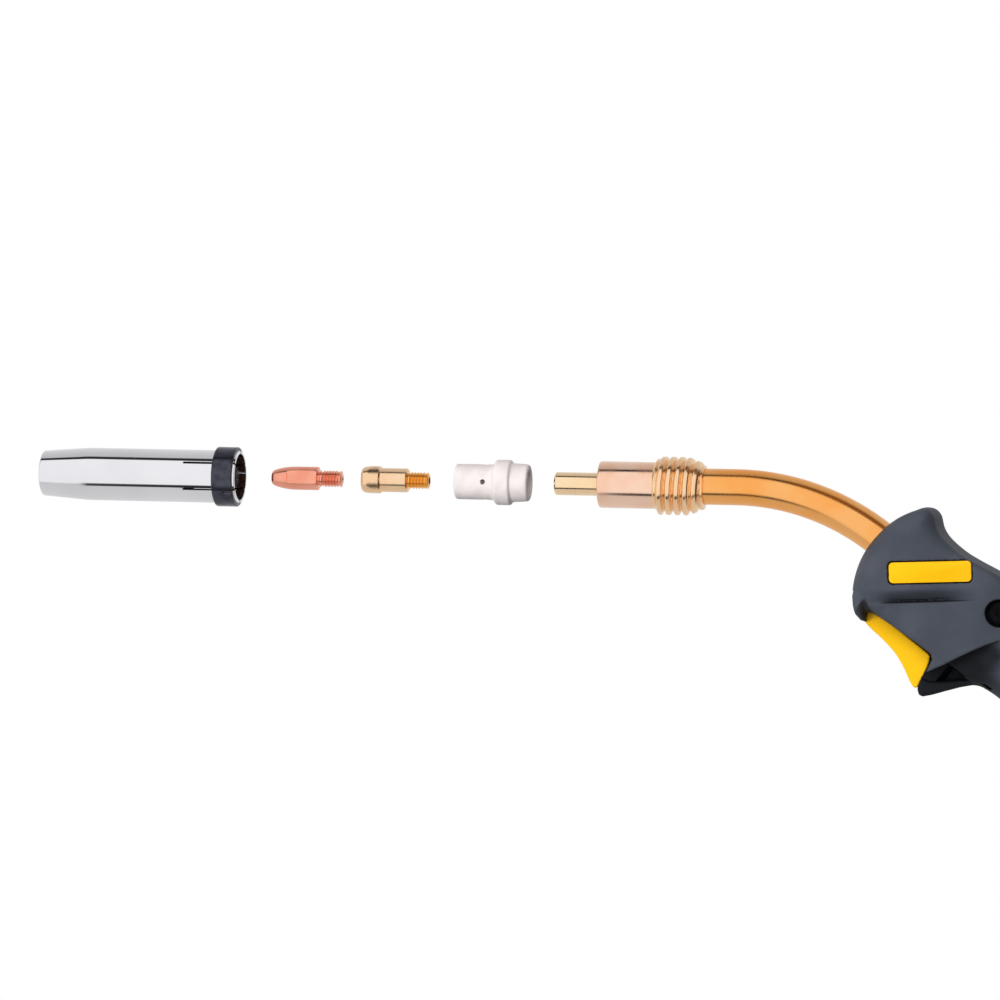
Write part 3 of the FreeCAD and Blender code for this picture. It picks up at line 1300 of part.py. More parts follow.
def make_shell_screws():
    """Socket-head screws of the shells."""
    screws = []
    for number, (place, height, floor) in enumerate(SCREWS, 1):
        top = "-%s - screw_head_height" % floor
        shank = cylinder("screw_shank_%d" % number, "screw_radius", floor + " + screw_reach + 1", place,
                         "-%s - 1" % floor, height, "Y")
        head = cylinder("screw_head_%d" % number, "screw_head_radius", "screw_head_height - seat_gap / 2",
                        place, top, height, "Y")
        socket = doc.addObject("Part::Prism", "screw_socket_%d" % number)
        socket.Placement = Placement(Vector(0, 0, 0), Rotation(Vector(1, 0, 0), -90))
        socket.setExpression("Circumradius", bound("screw_head_radius / 2"))
        socket.setExpression("Height", bound("screw_head_height"))
        for axis, text in (("x", place), ("y", top + " - screw_head_height / 2"), ("z", height)):
            socket.setExpression("Placement.Base." + axis, bound(text))
        screws.append(cut("shell_screw_%d" % number, joined("screw_solid_%d" % number, [shank, head]),
                          [socket]))
    group = joined("shell_screws_piece", screws)
    place_in_handle(group)
    return node(group, "shell_screws")


def make_shell_inserts():
    """Threaded brass inserts of the right shell."""
    inserts = []
    for number, (place, height, _) in enumerate(SCREWS, 1):
        rod = cylinder("insert_rod_%d" % number, "insert_radius", "insert_length", place, "insert_start",
                       height, "Y")
        bore = cylinder("insert_bore_%d" % number, "screw_radius + snug_gap / 2", "insert_length + 2", place,
                        "insert_start - 1", height, "Y")
        inserts.append(cut("insert_%d" % number, rod, [bore]))
    group = joined("shell_inserts_piece", inserts)
    place_in_handle(group)
    return node(group, "shell_inserts")


def make_label_plate(label, side):
    """Bare coloured plate in its recess, side being '-' or '' for left or right."""
    length, height = "label_length / 2", "label_height / 2"
    body = padded(label, lambda owner: polygon_sketch(owner, label + "_profile", rectangle(
        "-" + length, length, "-" + height, height)), "label_thickness / 2 - snug_gap / 2")
    base = body.Tip
    names = ["Edge%d" % number for number, edge in enumerate(base.Shape.Edges, 1)
             if abs(edge.Vertexes[0].Y - edge.Vertexes[1].Y) > 0.5]
    rounding = body.newObject("PartDesign::Fillet", label + "_corners")
    rounding.Base = (base, names)
    rounding.setExpression("Radius", bound("label_corner"))
    middle = "bulb_half_width - label_sunk - label_thickness / 2 + snug_gap / 2"
    place_in_handle(body, "label_place", "label_rise", "%s(%s)" % (side, middle), "label_turn")
    return node(body, label)


def build():
    """Make every sub-part in the order of the torch, from the nozzle to the cable inlet."""
    make_gas_nozzle()
    make_clamp_ring()
    make_contact_tip()
    make_tip_adaptor()
    make_gas_diffuser()
    make_nozzle_sleeve()
    make_front_insulator()
    make_outer_tube()
    make_neck_insulation()
    make_inner_tube()
    make_wire_liner()
    make_neck_holder()
    make_holder_screws()
    make_power_block()
    make_block_cover()
    make_neck_grommet()
    make_handle_shells()
    make_trigger()
    make_trigger_pin()
    make_trigger_spring()
    make_switch()
    make_switch_leads()
    make_connector()
    make_rear_collar()
    make_inlet_bush()
    make_shell_screws()
    make_shell_inserts()
    make_label_plate("label_plate_left", "-")
    make_label_plate("label_plate_right", "")
    doc.recompute()


def check():
    """Stop if anything failed or a sub-part has no valid solid."""
    for item in doc.Objects:
        if "Invalid" in item.State or "Error" in item.State:
            raise RuntimeError("failed: %s %s" % (item.Name, item.State))
    for piece in nodes:
        shape = piece.Shape
        if shape.isNull() or not shape.isValid() or not shape.Solids:
            raise RuntimeError("bad shape: " + piece.Label)


def write():
    """Write one file for each sub-part and print its size."""
    os.makedirs("parts", exist_ok=True)
    for piece in nodes:
        shape = piece.Shape
        shape.exportStep("parts/%s.step" % piece.Label)
        limits = shape.optimalBoundingBox()
        print("%-20s solids %d volume %9.1f  x %8.2f %8.2f  y %7.2f %7.2f  z %8.2f %8.2f" % (
            piece.Label, len(shape.Solids), shape.Volume, limits.XMin, limits.XMax, limits.YMin,
            limits.YMax, limits.ZMin, limits.ZMax))


build()
check()
write()
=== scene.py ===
"""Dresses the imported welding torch.

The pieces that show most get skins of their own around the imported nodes, every piece gets a finish,
and the camera and the soft studio light follow the reference view. Sizes are in millimetres.
"""
import logging
import math
from dataclasses import dataclass, field
from enum import Enum
from functools import reduce
from typing import Any, Callable, Sequence

import bpy
import numpy as np
from mathutils import Matrix, Vector


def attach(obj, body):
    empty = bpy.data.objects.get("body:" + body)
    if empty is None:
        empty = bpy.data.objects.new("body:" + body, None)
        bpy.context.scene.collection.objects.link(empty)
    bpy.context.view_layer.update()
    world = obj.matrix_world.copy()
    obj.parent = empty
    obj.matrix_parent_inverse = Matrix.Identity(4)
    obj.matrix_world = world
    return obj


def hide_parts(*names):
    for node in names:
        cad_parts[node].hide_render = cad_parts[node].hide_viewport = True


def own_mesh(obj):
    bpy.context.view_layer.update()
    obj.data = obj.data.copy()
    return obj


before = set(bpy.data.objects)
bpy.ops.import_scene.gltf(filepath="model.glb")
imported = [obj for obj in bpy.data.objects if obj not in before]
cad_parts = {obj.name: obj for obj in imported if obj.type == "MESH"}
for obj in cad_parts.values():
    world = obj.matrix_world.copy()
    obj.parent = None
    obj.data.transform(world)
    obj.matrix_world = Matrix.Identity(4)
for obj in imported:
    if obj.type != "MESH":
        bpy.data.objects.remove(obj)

MM = 0.001
LOG = logging.getLogger("torch")
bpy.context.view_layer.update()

Point = tuple[float, float]
Corner = tuple[float, float, float]
Colour = tuple[float, float, float]
Spot = tuple[float, float, float]
Box = tuple[Point, Point, Point]
Place = Callable[[np.ndarray, np.ndarray, np.ndarray], np.ndarray]


# Frames of the torch


def turned(along: Any, up: Any, angle: float) -> tuple[Any, Any]:
    """Place in a frame that is turned by an angle, for numbers, arrays and signals alike."""
    cosine, sine = math.cos(angle), math.sin(angle)
    return along * cosine + up * sine, up * cosine - along * sine


@dataclass(frozen=True)
class Layout:
    """Sizes that place the neck and the handle, and the maps from their frames to the world."""

    neck_straight: float = 47.4
    neck_bend_radius: float = 82.0
    handle_pitch: float = math.radians(37.0)
    neck_dip: float = math.radians(5.0)
    handle_length: float = 182.0

    @property
    def face_x(self) -> float:
        """World place of the sleeve's front face."""
        return -(self.handle_length * math.cos(self.handle_pitch)
                 + self.neck_bend_radius * math.sin(self.handle_pitch) + self.neck_straight)

    @property
    def axis_z(self) -> float:
        """World height of the neck's front axis."""
        return (self.handle_length * math.sin(self.handle_pitch)
                + self.neck_bend_radius * (1 - math.cos(self.handle_pitch)))

    @property
    def neck_turn(self) -> float:
        """Angle that the neck bends through."""
        return self.handle_pitch + self.neck_dip

    def front(self, x: np.ndarray, y: np.ndarray, z: np.ndarray) -> np.ndarray:
        """World points in metres of points counted from the sleeve's face on the front axis."""
        return MM * np.stack([x + self.face_x, y + 0 * x, z + self.axis_z], axis=-1)

    def handle(self, s: np.ndarray, y: np.ndarray, t: np.ndarray) -> np.ndarray:
        """World points in metres of points of the handle's frame.

        Args:
            s: Place along the handle's axis, from the neck's entry to the rear.
            y: Cross place, which both frames share.
            t: Height square to the handle's axis.

        Returns:
            The points, one to a row.
        """
        x, z = turned(s - self.handle_length, t, self.handle_pitch)
        return MM * np.stack([x, y + 0 * s, z], axis=-1)

    def handle_direction(self, along: float, up: float) -> Spot:
        """World direction of a direction in the handle's side view."""
        x, z = turned(along, up, self.handle_pitch)
        return x, 0.0, z


LAYOUT = Layout()
TRIGGER_PIN = (12.8, -18.2)


# Shader graphs


class Signal:
    """One value, colour or vector that flows between nodes, with arithmetic for values."""

    def __init__(self, graph: "Graph", socket: bpy.types.NodeSocket) -> None:
        """Wrap the socket that it leaves from."""
        self.graph = graph
        self.socket = socket

    def __add__(self, other: "Signal | float") -> "Signal":
        """Sum."""
        return self.graph.maths("ADD", self, other)

    def __sub__(self, other: "Signal | float") -> "Signal":
        """Difference."""
        return self.graph.maths("SUBTRACT", self, other)

    def __rsub__(self, other: float) -> "Signal":
        """Difference from a number."""
        return self.graph.maths("SUBTRACT", other, self)

    def __mul__(self, other: "Signal | float") -> "Signal":
        """Product."""
        return self.graph.maths("MULTIPLY", self, other)

    def __truediv__(self, other: "Signal | float") -> "Signal":
        """Quotient."""
        return self.graph.maths("DIVIDE", self, other)

    def __pow__(self, other: float) -> "Signal":
        """Power."""
        return self.graph.maths("POWER", self, other)

    __radd__ = __add__
    __rmul__ = __mul__

    def ease(self, low: float, high: float) -> "Signal":
        """Smooth step from 0 at the low value to 1 at the high one."""
        return self.graph.signal("Result", "ShaderNodeMapRange", {"interpolation_type": "SMOOTHSTEP"},
                                 {"Value": self, "From Min": low, "From Max": high})


class Graph:
    """Nodes of one material or of the world."""

    def __init__(self, tree: bpy.types.NodeTree) -> None:
        """Start with an empty tree."""
        self.tree = tree
        tree.nodes.clear()

    def node(self, kind: str, settings: dict | None = None, inputs: dict | None = None) -> bpy.types.Node:
        """Add a node.

        Args:
            kind: Type of the node.
            settings: Properties that are set first. "stops" fills a ramp with (place, colour) pairs.
            inputs: Value or signal of each named or numbered socket.

        Returns:
            The new node.
        """
        item = self.tree.nodes.new(kind)
        for key, value in (settings or {}).items():
            if key == "stops":
                ramp = item.color_ramp
                while len(ramp.elements) < len(value):
                    ramp.elements.new(1.0)
                for element, (place, colour) in zip(ramp.elements, value):
                    element.position = place
                    element.color = (*colour, 1.0)
            else:
                setattr(item, key, value)
        for key, value in (inputs or {}).items():
            if isinstance(value, Signal):
                self.tree.links.new(value.socket, item.inputs[key])
            else:
                item.inputs[key].default_value = value
        return item

    def signal(self, output: str | int, kind: str, settings: dict | None = None,
               inputs: dict | None = None) -> Signal:
        """Add a node and take one of its outputs."""
        return Signal(self, self.node(kind, settings, inputs).outputs[output])

    def maths(self, operation: str, first: Signal | float, second: Signal | float = 0.0) -> Signal:
        """Result of a Math node."""
        return self.signal(0, "ShaderNodeMath", {"operation": operation}, {0: first, 1: second})

    def mix(self, share: Signal | float, first: Signal | Colour, second: Signal | Colour) -> Signal:
        """Blend of two colours."""
        pair = [value if isinstance(value, Signal) else (*value, 1.0) for value in (first, second)]
        return self.signal(2, "ShaderNodeMix", {"data_type": "RGBA"}, {0: share, 6: pair[0], 7: pair[1]})

    def stretched(self, scale: Sequence[float]) -> Signal:
        """Object coordinates times a scale for each axis."""
        place = self.signal("Object", "ShaderNodeTexCoord")
        return self.signal(0, "ShaderNodeVectorMath", {"operation": "MULTIPLY"},
                           {0: place, 1: tuple(scale)})

    def parts(self, vector: Signal) -> tuple[Signal, Signal, Signal]:
        """X, Y and Z of a vector."""
        outputs = self.node("ShaderNodeSeparateXYZ", {}, {"Vector": vector}).outputs
        return tuple(Signal(self, outputs[axis]) for axis in "XYZ")

    def millimetres(self) -> tuple[Signal, Signal, Signal]:
        """Object coordinates in millimetres."""
        return self.parts(self.stretched((1 / MM,) * 3))

    def noise(self, size: float, stretch: Sequence[float] = (1, 1, 1), detail: float = 3.0) -> Signal:
        """Noise from 0 to 1.

        Args:
            size: Width of its patches in millimetres.
            stretch: How many times longer the patches are along each axis.
            detail: Octaves of finer noise.

        Returns:
            The noise's value.
        """
        scale = [1 / (size * MM * longer) for longer in stretch]
        return self.signal(0, "ShaderNodeTexNoise", {},
                           {"Vector": self.stretched(scale), "Scale": 1.0, "Detail": detail})

    def bump(self, height: Signal, depth: float) -> Signal:
        """Normal of a height from 0 to 1 that is so many millimetres deep."""
        return self.signal("Normal", "ShaderNodeBump", {},
                           {"Height": height, "Distance": depth * MM, "Strength": 1.0})


# Finishes


def shade(colour: Colour, share: float) -> Colour:
    """Darker shade of a colour."""
    return tuple(share * part for part in colour)


@dataclass(frozen=True)
class Finish:
    """Surface of a piece, made with one Principled shader."""

    name: str
    colour: Colour

    def sockets(self, graph: Graph) -> dict:
        """Value or signal of each of the shader's sockets that the finish sets."""
        raise NotImplementedError

    def make(self) -> bpy.types.Material:
        """Build the material.

        Returns:
            The material.
        """
        material = bpy.data.materials.new(self.name)
        material.use_nodes = True
        graph = Graph(material.node_tree)
        shader = graph.signal("BSDF", "ShaderNodeBsdfPrincipled", {}, self.sockets(graph))
        graph.node("ShaderNodeOutputMaterial", {}, {"Surface": shader})
        return material


class Grain(Enum):
    """Direction of the fine marks that the making of a metal piece leaves."""

    ROUND_THE_AXIS = (0.02, 1.0, 1.0)
    ALONG_THE_AXIS = (30.0, 1.0, 1.0)
    NONE = (1.0, 1.0, 1.0)


@dataclass(frozen=True)
class Zone:
    """Stretch of the front axis, counted from the sleeve's face, that has a colour of its own."""

    start: float
    end: float
    colour: Colour
    roughness: float
    blur: float = 0.3
    within: float = 0.0
    flare: float = 0.0

    def mask(self, graph: Graph) -> Signal:
        """Mask that is 1 in the zone, and only inside its radius where it has one.

        Args:
            graph: Graph of the material.

        Returns:
            The mask.
        """
        x, y, z = graph.millimetres()
        along = x - LAYOUT.face_x
        mask = along.ease(self.start - self.blur, self.start + self.blur)
        mask = mask * (1 - along.ease(self.end - self.blur, self.end + self.blur))
        if self.within:
            up = z - LAYOUT.axis_z
            radius = (up * up + y * y) ** 0.5
            limit = self.within + (along - self.start) * self.flare
            mask = mask * (1 - (radius - limit).ease(-0.1, 0.1))
        return mask


@dataclass(frozen=True)
class PaintedShadowCorner:
    """Corner of the handle, in the handle's own frame, whose shadow is painted into the colour."""

    along: tuple[float, float, float, float]
    up: Point
    half: Point
    share: float

    def mask(self, graph: Graph) -> Signal:
        """Mask that is 1 in the corner.

        Args:
            graph: Graph of the material.

        Returns:
            The mask.
        """
        x, y, z = graph.millimetres()
        along, up = turned(x, z, -LAYOUT.handle_pitch)
        along = along + LAYOUT.handle_length
        mask = along.ease(*self.along[:2]) * (1 - along.ease(*self.along[2:]))
        side = graph.maths("ABSOLUTE", y)
        return mask * (1 - up.ease(*self.up)) * (1 - side.ease(*self.half)) * self.share


@dataclass(frozen=True)
class Metal(Finish):
    """Bare or plated metal with a drifting tint, smears, fine marks, specks and coloured zones."""

    tint: Colour
    roughness: float
    grain: Grain = Grain.NONE
    grain_size: float = 0.25
    grain_depth: float = 0.002
    patch: float = 9.0
    smear: float = 0.08
    specks: float = 0.3
    zones: tuple[Zone, ...] = ()
    tint_span: Point = (0.35, 0.7)
    smear_span: Point = (0.4, 0.75)
    speck_span: Point = (0.66, 0.78)
    speck_size: float = 0.6
    speck_shade: float = 0.55
    grain_roughness: float = 0.04

    def sockets(self, graph: Graph) -> dict:
        """Sockets of the metal's shader.

        Args:
            graph: Graph of the material.

        Returns:
            Value or signal of each socket.
        """
        patches = graph.noise(self.patch, detail=4.0)
        marks = graph.noise(self.grain_size, self.grain.value, 2.0)
        colour = graph.mix(patches.ease(*self.tint_span), self.colour, self.tint)
        roughness = self.roughness + self.smear * patches.ease(*self.smear_span)
        roughness = roughness + self.grain_roughness * marks
        for zone in self.zones:
            mask = zone.mask(graph)
            colour = graph.mix(mask, colour, zone.colour)
            roughness = roughness + mask * (zone.roughness - self.roughness)
        specks = graph.noise(self.speck_size, detail=5.0).ease(*self.speck_span)
        return {
            "Base Color": graph.mix(specks * self.specks, colour, shade(self.tint, self.speck_shade)),
            "Metallic": 1.0,
            "Roughness": roughness,
            "Normal": graph.bump(marks, self.grain_depth),
        }


@dataclass(frozen=True)
class Moulded(Finish):
    """Moulded plastic or rubber with a fine grain, mottling, scuffs, painted shade in its hollows and an
    optional painted shadow corner.
    """

    roughness: float
    grain_size: float = 0.35
    grain_depth: float = 0.02
    mottle: float = 0.08
    specular: float = 0.5
    # Share of painted shade laid into the hollows that ambient occlusion finds; the next two fields set its
    # reach and span.
    hollow_shade: float = 0.0
    hollow_shade_reach: float = 24.0
    hollow_shade_span: Point = (0.45, 0.95)
    # Painted shadow: a corner of the piece that is darkened in the base colour.
    corner: PaintedShadowCorner | None = None
    mottle_span: Point = (0.3, 0.7)
    scuffs: float = 0.12
    scuff_span: Point = (0.62, 0.8)
    scuff_size: float = 1.6
    scuff_stretch: Spot = (6.0, 1.0, 1.0)
    scuff_polish: float = 0.08
    cloud_size: float = 14.0
    cloud_roughness: float = 0.06
    painted_shade_share: float = 0.06

    def sockets(self, graph: Graph) -> dict:
        """Sockets of the plastic's shader.

        Args:
            graph: Graph of the material.

        Returns:
            Value or signal of each socket.
        """
        cloud = graph.noise(self.cloud_size, detail=5.0)
        pores = graph.noise(self.grain_size, detail=2.0)
        scuffs = graph.noise(self.scuff_size, self.scuff_stretch, 4.0).ease(*self.scuff_span)
        light = tuple(min(part * (1 + 2 * self.mottle) + 0.004, 1.0) for part in self.colour)
        painted_shade = shade(self.colour, self.painted_shade_share)
        base = graph.mix(cloud.ease(*self.mottle_span), shade(self.colour, 1 - self.mottle), light)
        base = graph.mix(scuffs * self.scuffs, base, light)
        # Painted shade: the base colour darkens in the hollows that ambient occlusion finds.
        if self.hollow_shade:
            openness = graph.signal("AO", "ShaderNodeAmbientOcclusion", {"samples": 6},
                                    {"Distance": self.hollow_shade_reach * MM})
            base = graph.mix((1 - openness.ease(*self.hollow_shade_span)) * self.hollow_shade, base, painted_shade)
        # Painted shadow: the corner behind the cheek and guard darkens in the base colour.
        if self.corner:
            base = graph.mix(self.corner.mask(graph), base, painted_shade)
        return {
            "Base Color": base,
            "Roughness": self.roughness + self.cloud_roughness * cloud - self.scuff_polish * scuffs,
            "Specular IOR Level": self.specular,
            "Normal": graph.bump(pores, self.grain_depth),
        }


@dataclass(frozen=True)
class Ceramic(Finish):
    """Unglazed pressed ceramic: chalky, faintly speckled."""

    roughness: float = 0.62
    shade_share: float = 0.88
    shade_span: Point = (0.3, 0.75)
    stain: Colour = (0.42, 0.38, 0.36)
    stain_share: float = 0.35
    stain_span: Point = (0.7, 0.76)
    stain_size: float = 0.5
    cloud_size: float = 5.0
    grain_size: float = 0.18
    grain_depth: float = 0.015
    grain_roughness: float = 0.1

    def sockets(self, graph: Graph) -> dict:
        """Sockets of the ceramic's shader.

        Args:
            graph: Graph of the material.

        Returns:
            Value or signal of each socket.
        """
        cloud = graph.noise(self.cloud_size, detail=4.0)
        grains = graph.noise(self.grain_size, detail=3.0)
        specks = graph.noise(self.stain_size, detail=2.0).ease(*self.stain_span)
        base = graph.mix(cloud.ease(*self.shade_span), self.colour, shade(self.colour, self.shade_share))
        return {
            "Base Color": graph.mix(specks * self.stain_share, base, self.stain),
            "Roughness": self.roughness + self.grain_roughness * grains,
            "Normal": graph.bump(grains, self.grain_depth),
        }


@dataclass(frozen=True)
class PaleMatt(Finish):
    """Matt floor that drifts between two pale greys."""

    other: Colour
    patch: float = 60.0
    roughness: float = 0.8
    specular: float = 0.1

    def sockets(self, graph: Graph) -> dict:
        """Sockets of the floor's shader."""
        return {"Base Color": graph.mix(graph.noise(self.patch), self.colour, self.other),
                "Roughness": self.roughness, "Specular IOR Level": self.specular}


SOOT_BROWN = (0.16, 0.085, 0.06)
SOOT = (Zone(-198.0, -181.8, SOOT_BROWN, 0.55, 0.3, 7.3, 0.081),
        Zone(-181.8, -130.6, SOOT_BROWN, 0.55, 1.4, 8.6))
CHROME = Metal("chromed_copper", (0.83, 0.83, 0.86), (0.79, 0.79, 0.82), 0.04, Grain.ALONG_THE_AXIS,
               grain_size=0.5, grain_depth=0.0002, patch=22.0, smear=0.02, specks=0.03, zones=SOOT)
BLACK_STEEL = Metal("blackened_steel", (0.075, 0.078, 0.10), (0.045, 0.047, 0.062), 0.2,
                    Grain.ROUND_THE_AXIS, patch=3.0)
TIP_COPPER = Metal("tip_copper", (0.96, 0.42, 0.29), (0.92, 0.35, 0.24), 0.17, Grain.ROUND_THE_AXIS,
                   grain_size=0.5, grain_depth=0.0012, specks=0.15)
ADAPTOR_BRASS = Metal("adaptor_brass", (0.96, 0.69, 0.45), (0.94, 0.62, 0.37), 0.12,
                      Grain.ROUND_THE_AXIS, grain_depth=0.001, specks=0.15,
                      zones=(Zone(-67.3, -59.0, (0.97, 0.50, 0.12), 0.2),))
NECK_PINK = Metal("neck_copper", (0.97, 0.67, 0.51), (0.95, 0.58, 0.41), 0.13, Grain.ROUND_THE_AXIS,
                  grain_size=0.6, grain_depth=0.0006, specks=0.15,
                  zones=(Zone(19.0, 37.0, (0.97, 0.66, 0.40), 0.14),))
NECK_ORANGE = Metal("neck_tube_copper", (0.98, 0.48, 0.16), (0.98, 0.41, 0.10), 0.17,
                    Grain.ALONG_THE_AXIS, grain_depth=0.0001, patch=18.0, smear=0.03, specks=0.08)
TUBE_BRASS = Metal("tube_brass", (0.99, 0.75, 0.48), (0.97, 0.68, 0.40), 0.1, Grain.ROUND_THE_AXIS,
                   grain_depth=0.0008, specks=0.12)
LINER_STEEL = Metal("liner_steel", (0.55, 0.56, 0.58), (0.42, 0.42, 0.44), 0.3)
SPRING_STEEL = Metal("spring_steel", (0.62, 0.63, 0.66), (0.5, 0.5, 0.53), 0.22, Grain.ALONG_THE_AXIS)
ZINC_STEEL = Metal("zinc_steel", (0.60, 0.61, 0.64), (0.46, 0.47, 0.50), 0.3, Grain.ROUND_THE_AXIS)
# Painted shade: the screw heads are near black so that the deep screw recesses read as shade.
SCREW_STEEL = Metal("screws_dark_as_shade", (0.012, 0.012, 0.015), (0.008, 0.008, 0.009), 0.5)
TINNED = Metal("tinned_contacts", (0.78, 0.77, 0.74), (0.68, 0.67, 0.64), 0.25)
INSULATION = Moulded("insulating_plastic", (0.55, 0.48, 0.38), 0.5)
RUBBER = Moulded("black_rubber", (0.012, 0.012, 0.013), 0.62, grain_depth=0.03)
BLACK_PLASTIC = Moulded("black_plastic", (0.016, 0.017, 0.020), 0.42)
# The slate handle gets painted shade in its hollows and a painted shadow behind the cheek and guard.
SLATE = Moulded("slate_plastic", (0.060, 0.067, 0.085), 0.6, grain_size=0.3, grain_depth=0.018,
                specular=0.14, hollow_shade=0.95,
                corner=PaintedShadowCorner((39.3, 40.6, 54.0, 74.0), (-13.0, 1.0), (12.5, 16.8), 0.93))
TRIGGER_YELLOW = Moulded("yellow_plastic", (0.99, 0.54, 0.002), 0.42, grain_depth=0.006, mottle=0.02,
                         specular=0.3)
LABEL_YELLOW = Moulded("label_yellow", (0.97, 0.51, 0.001), 0.35, grain_depth=0.003, mottle=0.02,
                       specular=0.25)
RED_PLASTIC = Moulded("red_plastic", (0.42, 0.02, 0.015), 0.38, grain_depth=0.008)
SHEATH = Moulded("lead_sheath", (0.02, 0.03, 0.10), 0.45, grain_depth=0.008)
WHITE_PLASTIC = Moulded("white_plastic", (0.72, 0.71, 0.67), 0.42, grain_depth=0.006, mottle=0.03)
WHITE_CERAMIC = Ceramic("white_ceramic", (0.805, 0.74, 0.73))
PALE_FLOOR = PaleMatt("pale_floor", (0.88, 0.88, 0.88), (0.92, 0.92, 0.92))

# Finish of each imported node
NODE_FINISHES = {
    "gas_nozzle": CHROME, "nozzle_clamp_ring": BLACK_STEEL, "contact_tip": TIP_COPPER,
    "tip_adaptor": ADAPTOR_BRASS, "gas_diffuser": WHITE_CERAMIC, "nozzle_sleeve": NECK_PINK,
    "front_insulator": INSULATION, "outer_tube": NECK_ORANGE, "neck_insulation": INSULATION,
    "inner_tube": TUBE_BRASS, "wire_liner": LINER_STEEL, "neck_holder": ADAPTOR_BRASS,
    "holder_screws": ZINC_STEEL, "power_block": TUBE_BRASS, "power_block_cover": BLACK_PLASTIC,
    "neck_grommet": RUBBER, "handle_shell_left": SLATE, "handle_shell_right": SLATE,
    "trigger": TRIGGER_YELLOW, "trigger_pin": SPRING_STEEL, "trigger_spring": SPRING_STEEL,
    "microswitch_case": BLACK_PLASTIC, "switch_pins": SPRING_STEEL, "switch_terminals": TINNED,
    "switch_plunger": RED_PLASTIC, "switch_leads": SHEATH, "lead_connector": WHITE_PLASTIC,
    "connector_pins": TINNED, "rear_collar": BLACK_PLASTIC, "cable_inlet_bush": BLACK_PLASTIC,
    "shell_screws": SCREW_STEEL, "shell_inserts": TUBE_BRASS, "label_plate_left": LABEL_YELLOW,
    "label_plate_right": LABEL_YELLOW}


class Paintbox:
    """Makes each finish's material once."""

    def __init__(self) -> None:
        """Start with no material made."""
        self.made: dict[str, bpy.types.Material] = {}

    def take(self, finish: Finish) -> bpy.types.Material:
        """Material of a finish.

        Args:
            finish: The finish.

        Returns:
            Its material, made at the first call.
        """
        if finish.name not in self.made:
            self.made[finish.name] = finish.make()
        return self.made[finish.name]


PAINTS = Paintbox()


# Skins of turned and bent pieces


def rounded(corners: Sequence[Corner], steps: int) -> list[Point]:
    """Closed outline with its corners rounded.

    Args:
        corners: (x, radius, rounding) of each corner.
        steps: Chords of each rounding.

    Returns:
        The outline's points in order.
    """
    points = []
    count = len(corners)
    for k, (x, r, rounding) in enumerate(corners):
        spot = Vector((x, r))
        if rounding <= 0:
            points.append((x, r))
            continue
        back = (Vector(corners[k - 1][:2]) - spot).normalized()
        ahead = (Vector(corners[(k + 1) % count][:2]) - spot).normalized()
        half_angle = back.angle(ahead) / 2
        reach = rounding / math.tan(half_angle)
        centre = spot + (back + ahead).normalized() * rounding / math.sin(half_angle)
        first, last = spot + back * reach - centre, spot + ahead * reach - centre
        for step in range(steps + 1):
            share = step / steps
            arm = (first * (1 - share) + last * share).normalized() * rounding
            points.append(tuple(centre + arm))
    return points


def spaced(start: float, end: float, pitch: float) -> list[float]:
    """Evenly spaced places between two limits, both included, no further apart than the pitch."""
    steps = max(1, math.ceil(abs(end - start) / pitch))
    return [start + (end - start) * k / steps for k in range(steps + 1)]


def around(count: int) -> np.ndarray:
    """Angles of so many points round an axis."""
    return np.linspace(0, 2 * math.pi, count, endpoint=False)


@dataclass(frozen=True)
class Thread:
    """Male thread that winds round an axis and fades at both ends."""

    start: float
    end: float
    pitch: float
    crest: float
    depth: float
    fade: float = 1.0

    def radius(self, x: float, theta: np.ndarray) -> np.ndarray:
        """Radius at a place of the axis for each angle.

        Args:
            x: Place along the axis.
            theta: Angles round it.

        Returns:
            The radius for each angle.
        """
        phase = 2 * math.pi * x / self.pitch - theta
        groove = (1 + np.cos(phase)) / 2
        run_out = self.fade * self.pitch
        ends = min(1.0, (x - self.start) / run_out, (self.end - x) / run_out)
        return self.crest - self.depth * (1 - (1 - groove) * max(ends, 0.0))

    def stations(self) -> list[float]:
        """Places of the axis at which rows of the skin are needed."""
        return spaced(self.start, self.end, self.pitch / 10)


def placed(name: str, data: bpy.types.ID) -> bpy.types.Object:
    """New object in the scene."""
    item = bpy.data.objects.new(name, data)
    bpy.context.scene.collection.objects.link(item)
    return item


def mesh_object(name: str, points: np.ndarray, faces: Sequence[Sequence[int]],
                crease: float = 35.0) -> bpy.types.Object:
    """Object with a smooth mesh.

    Args:
        name: Name of the object.
        points: World points in metres, one to a row.
        faces: Numbers of the points of each face.
        crease: Angle in degrees above which an edge shows.

    Returns:
        The object.
    """
    mesh = bpy.data.meshes.new(name)
    mesh.from_pydata(points.tolist(), [], [list(face) for face in faces])
    mesh.validate()
    mesh.shade_smooth()
    mesh.set_sharp_from_angle(angle=math.radians(crease))
    return placed(name, mesh)


def hoop(x: float, radius: float | np.ndarray, theta: np.ndarray) -> np.ndarray:
    """World points round the front axis, at a place of it and for each angle."""
    return LAYOUT.front(np.full(len(theta), x), -radius * np.cos(theta), radius * np.sin(theta))


def row_faces(rows: int, count: int, wrapped: bool) -> list[tuple[int, int, int, int]]:
    """Quads between neighbouring rows of the same count of points, each row a closed ring.

    Args:
        rows: Number of rows.
        count: Points in a row.
        wrapped: Whether the last row joins the first.

    Returns:
        The quads, whose outside is to the right of a row's way when rows run ahead.
    """
    faces = []
    for i in range(rows if wrapped else rows - 1):
        ahead = (i + 1) % rows
        for j in range(count):
            after = (j + 1) % count
            faces.append((i * count + j, i * count + after, ahead * count + after, ahead * count + j))
    return faces


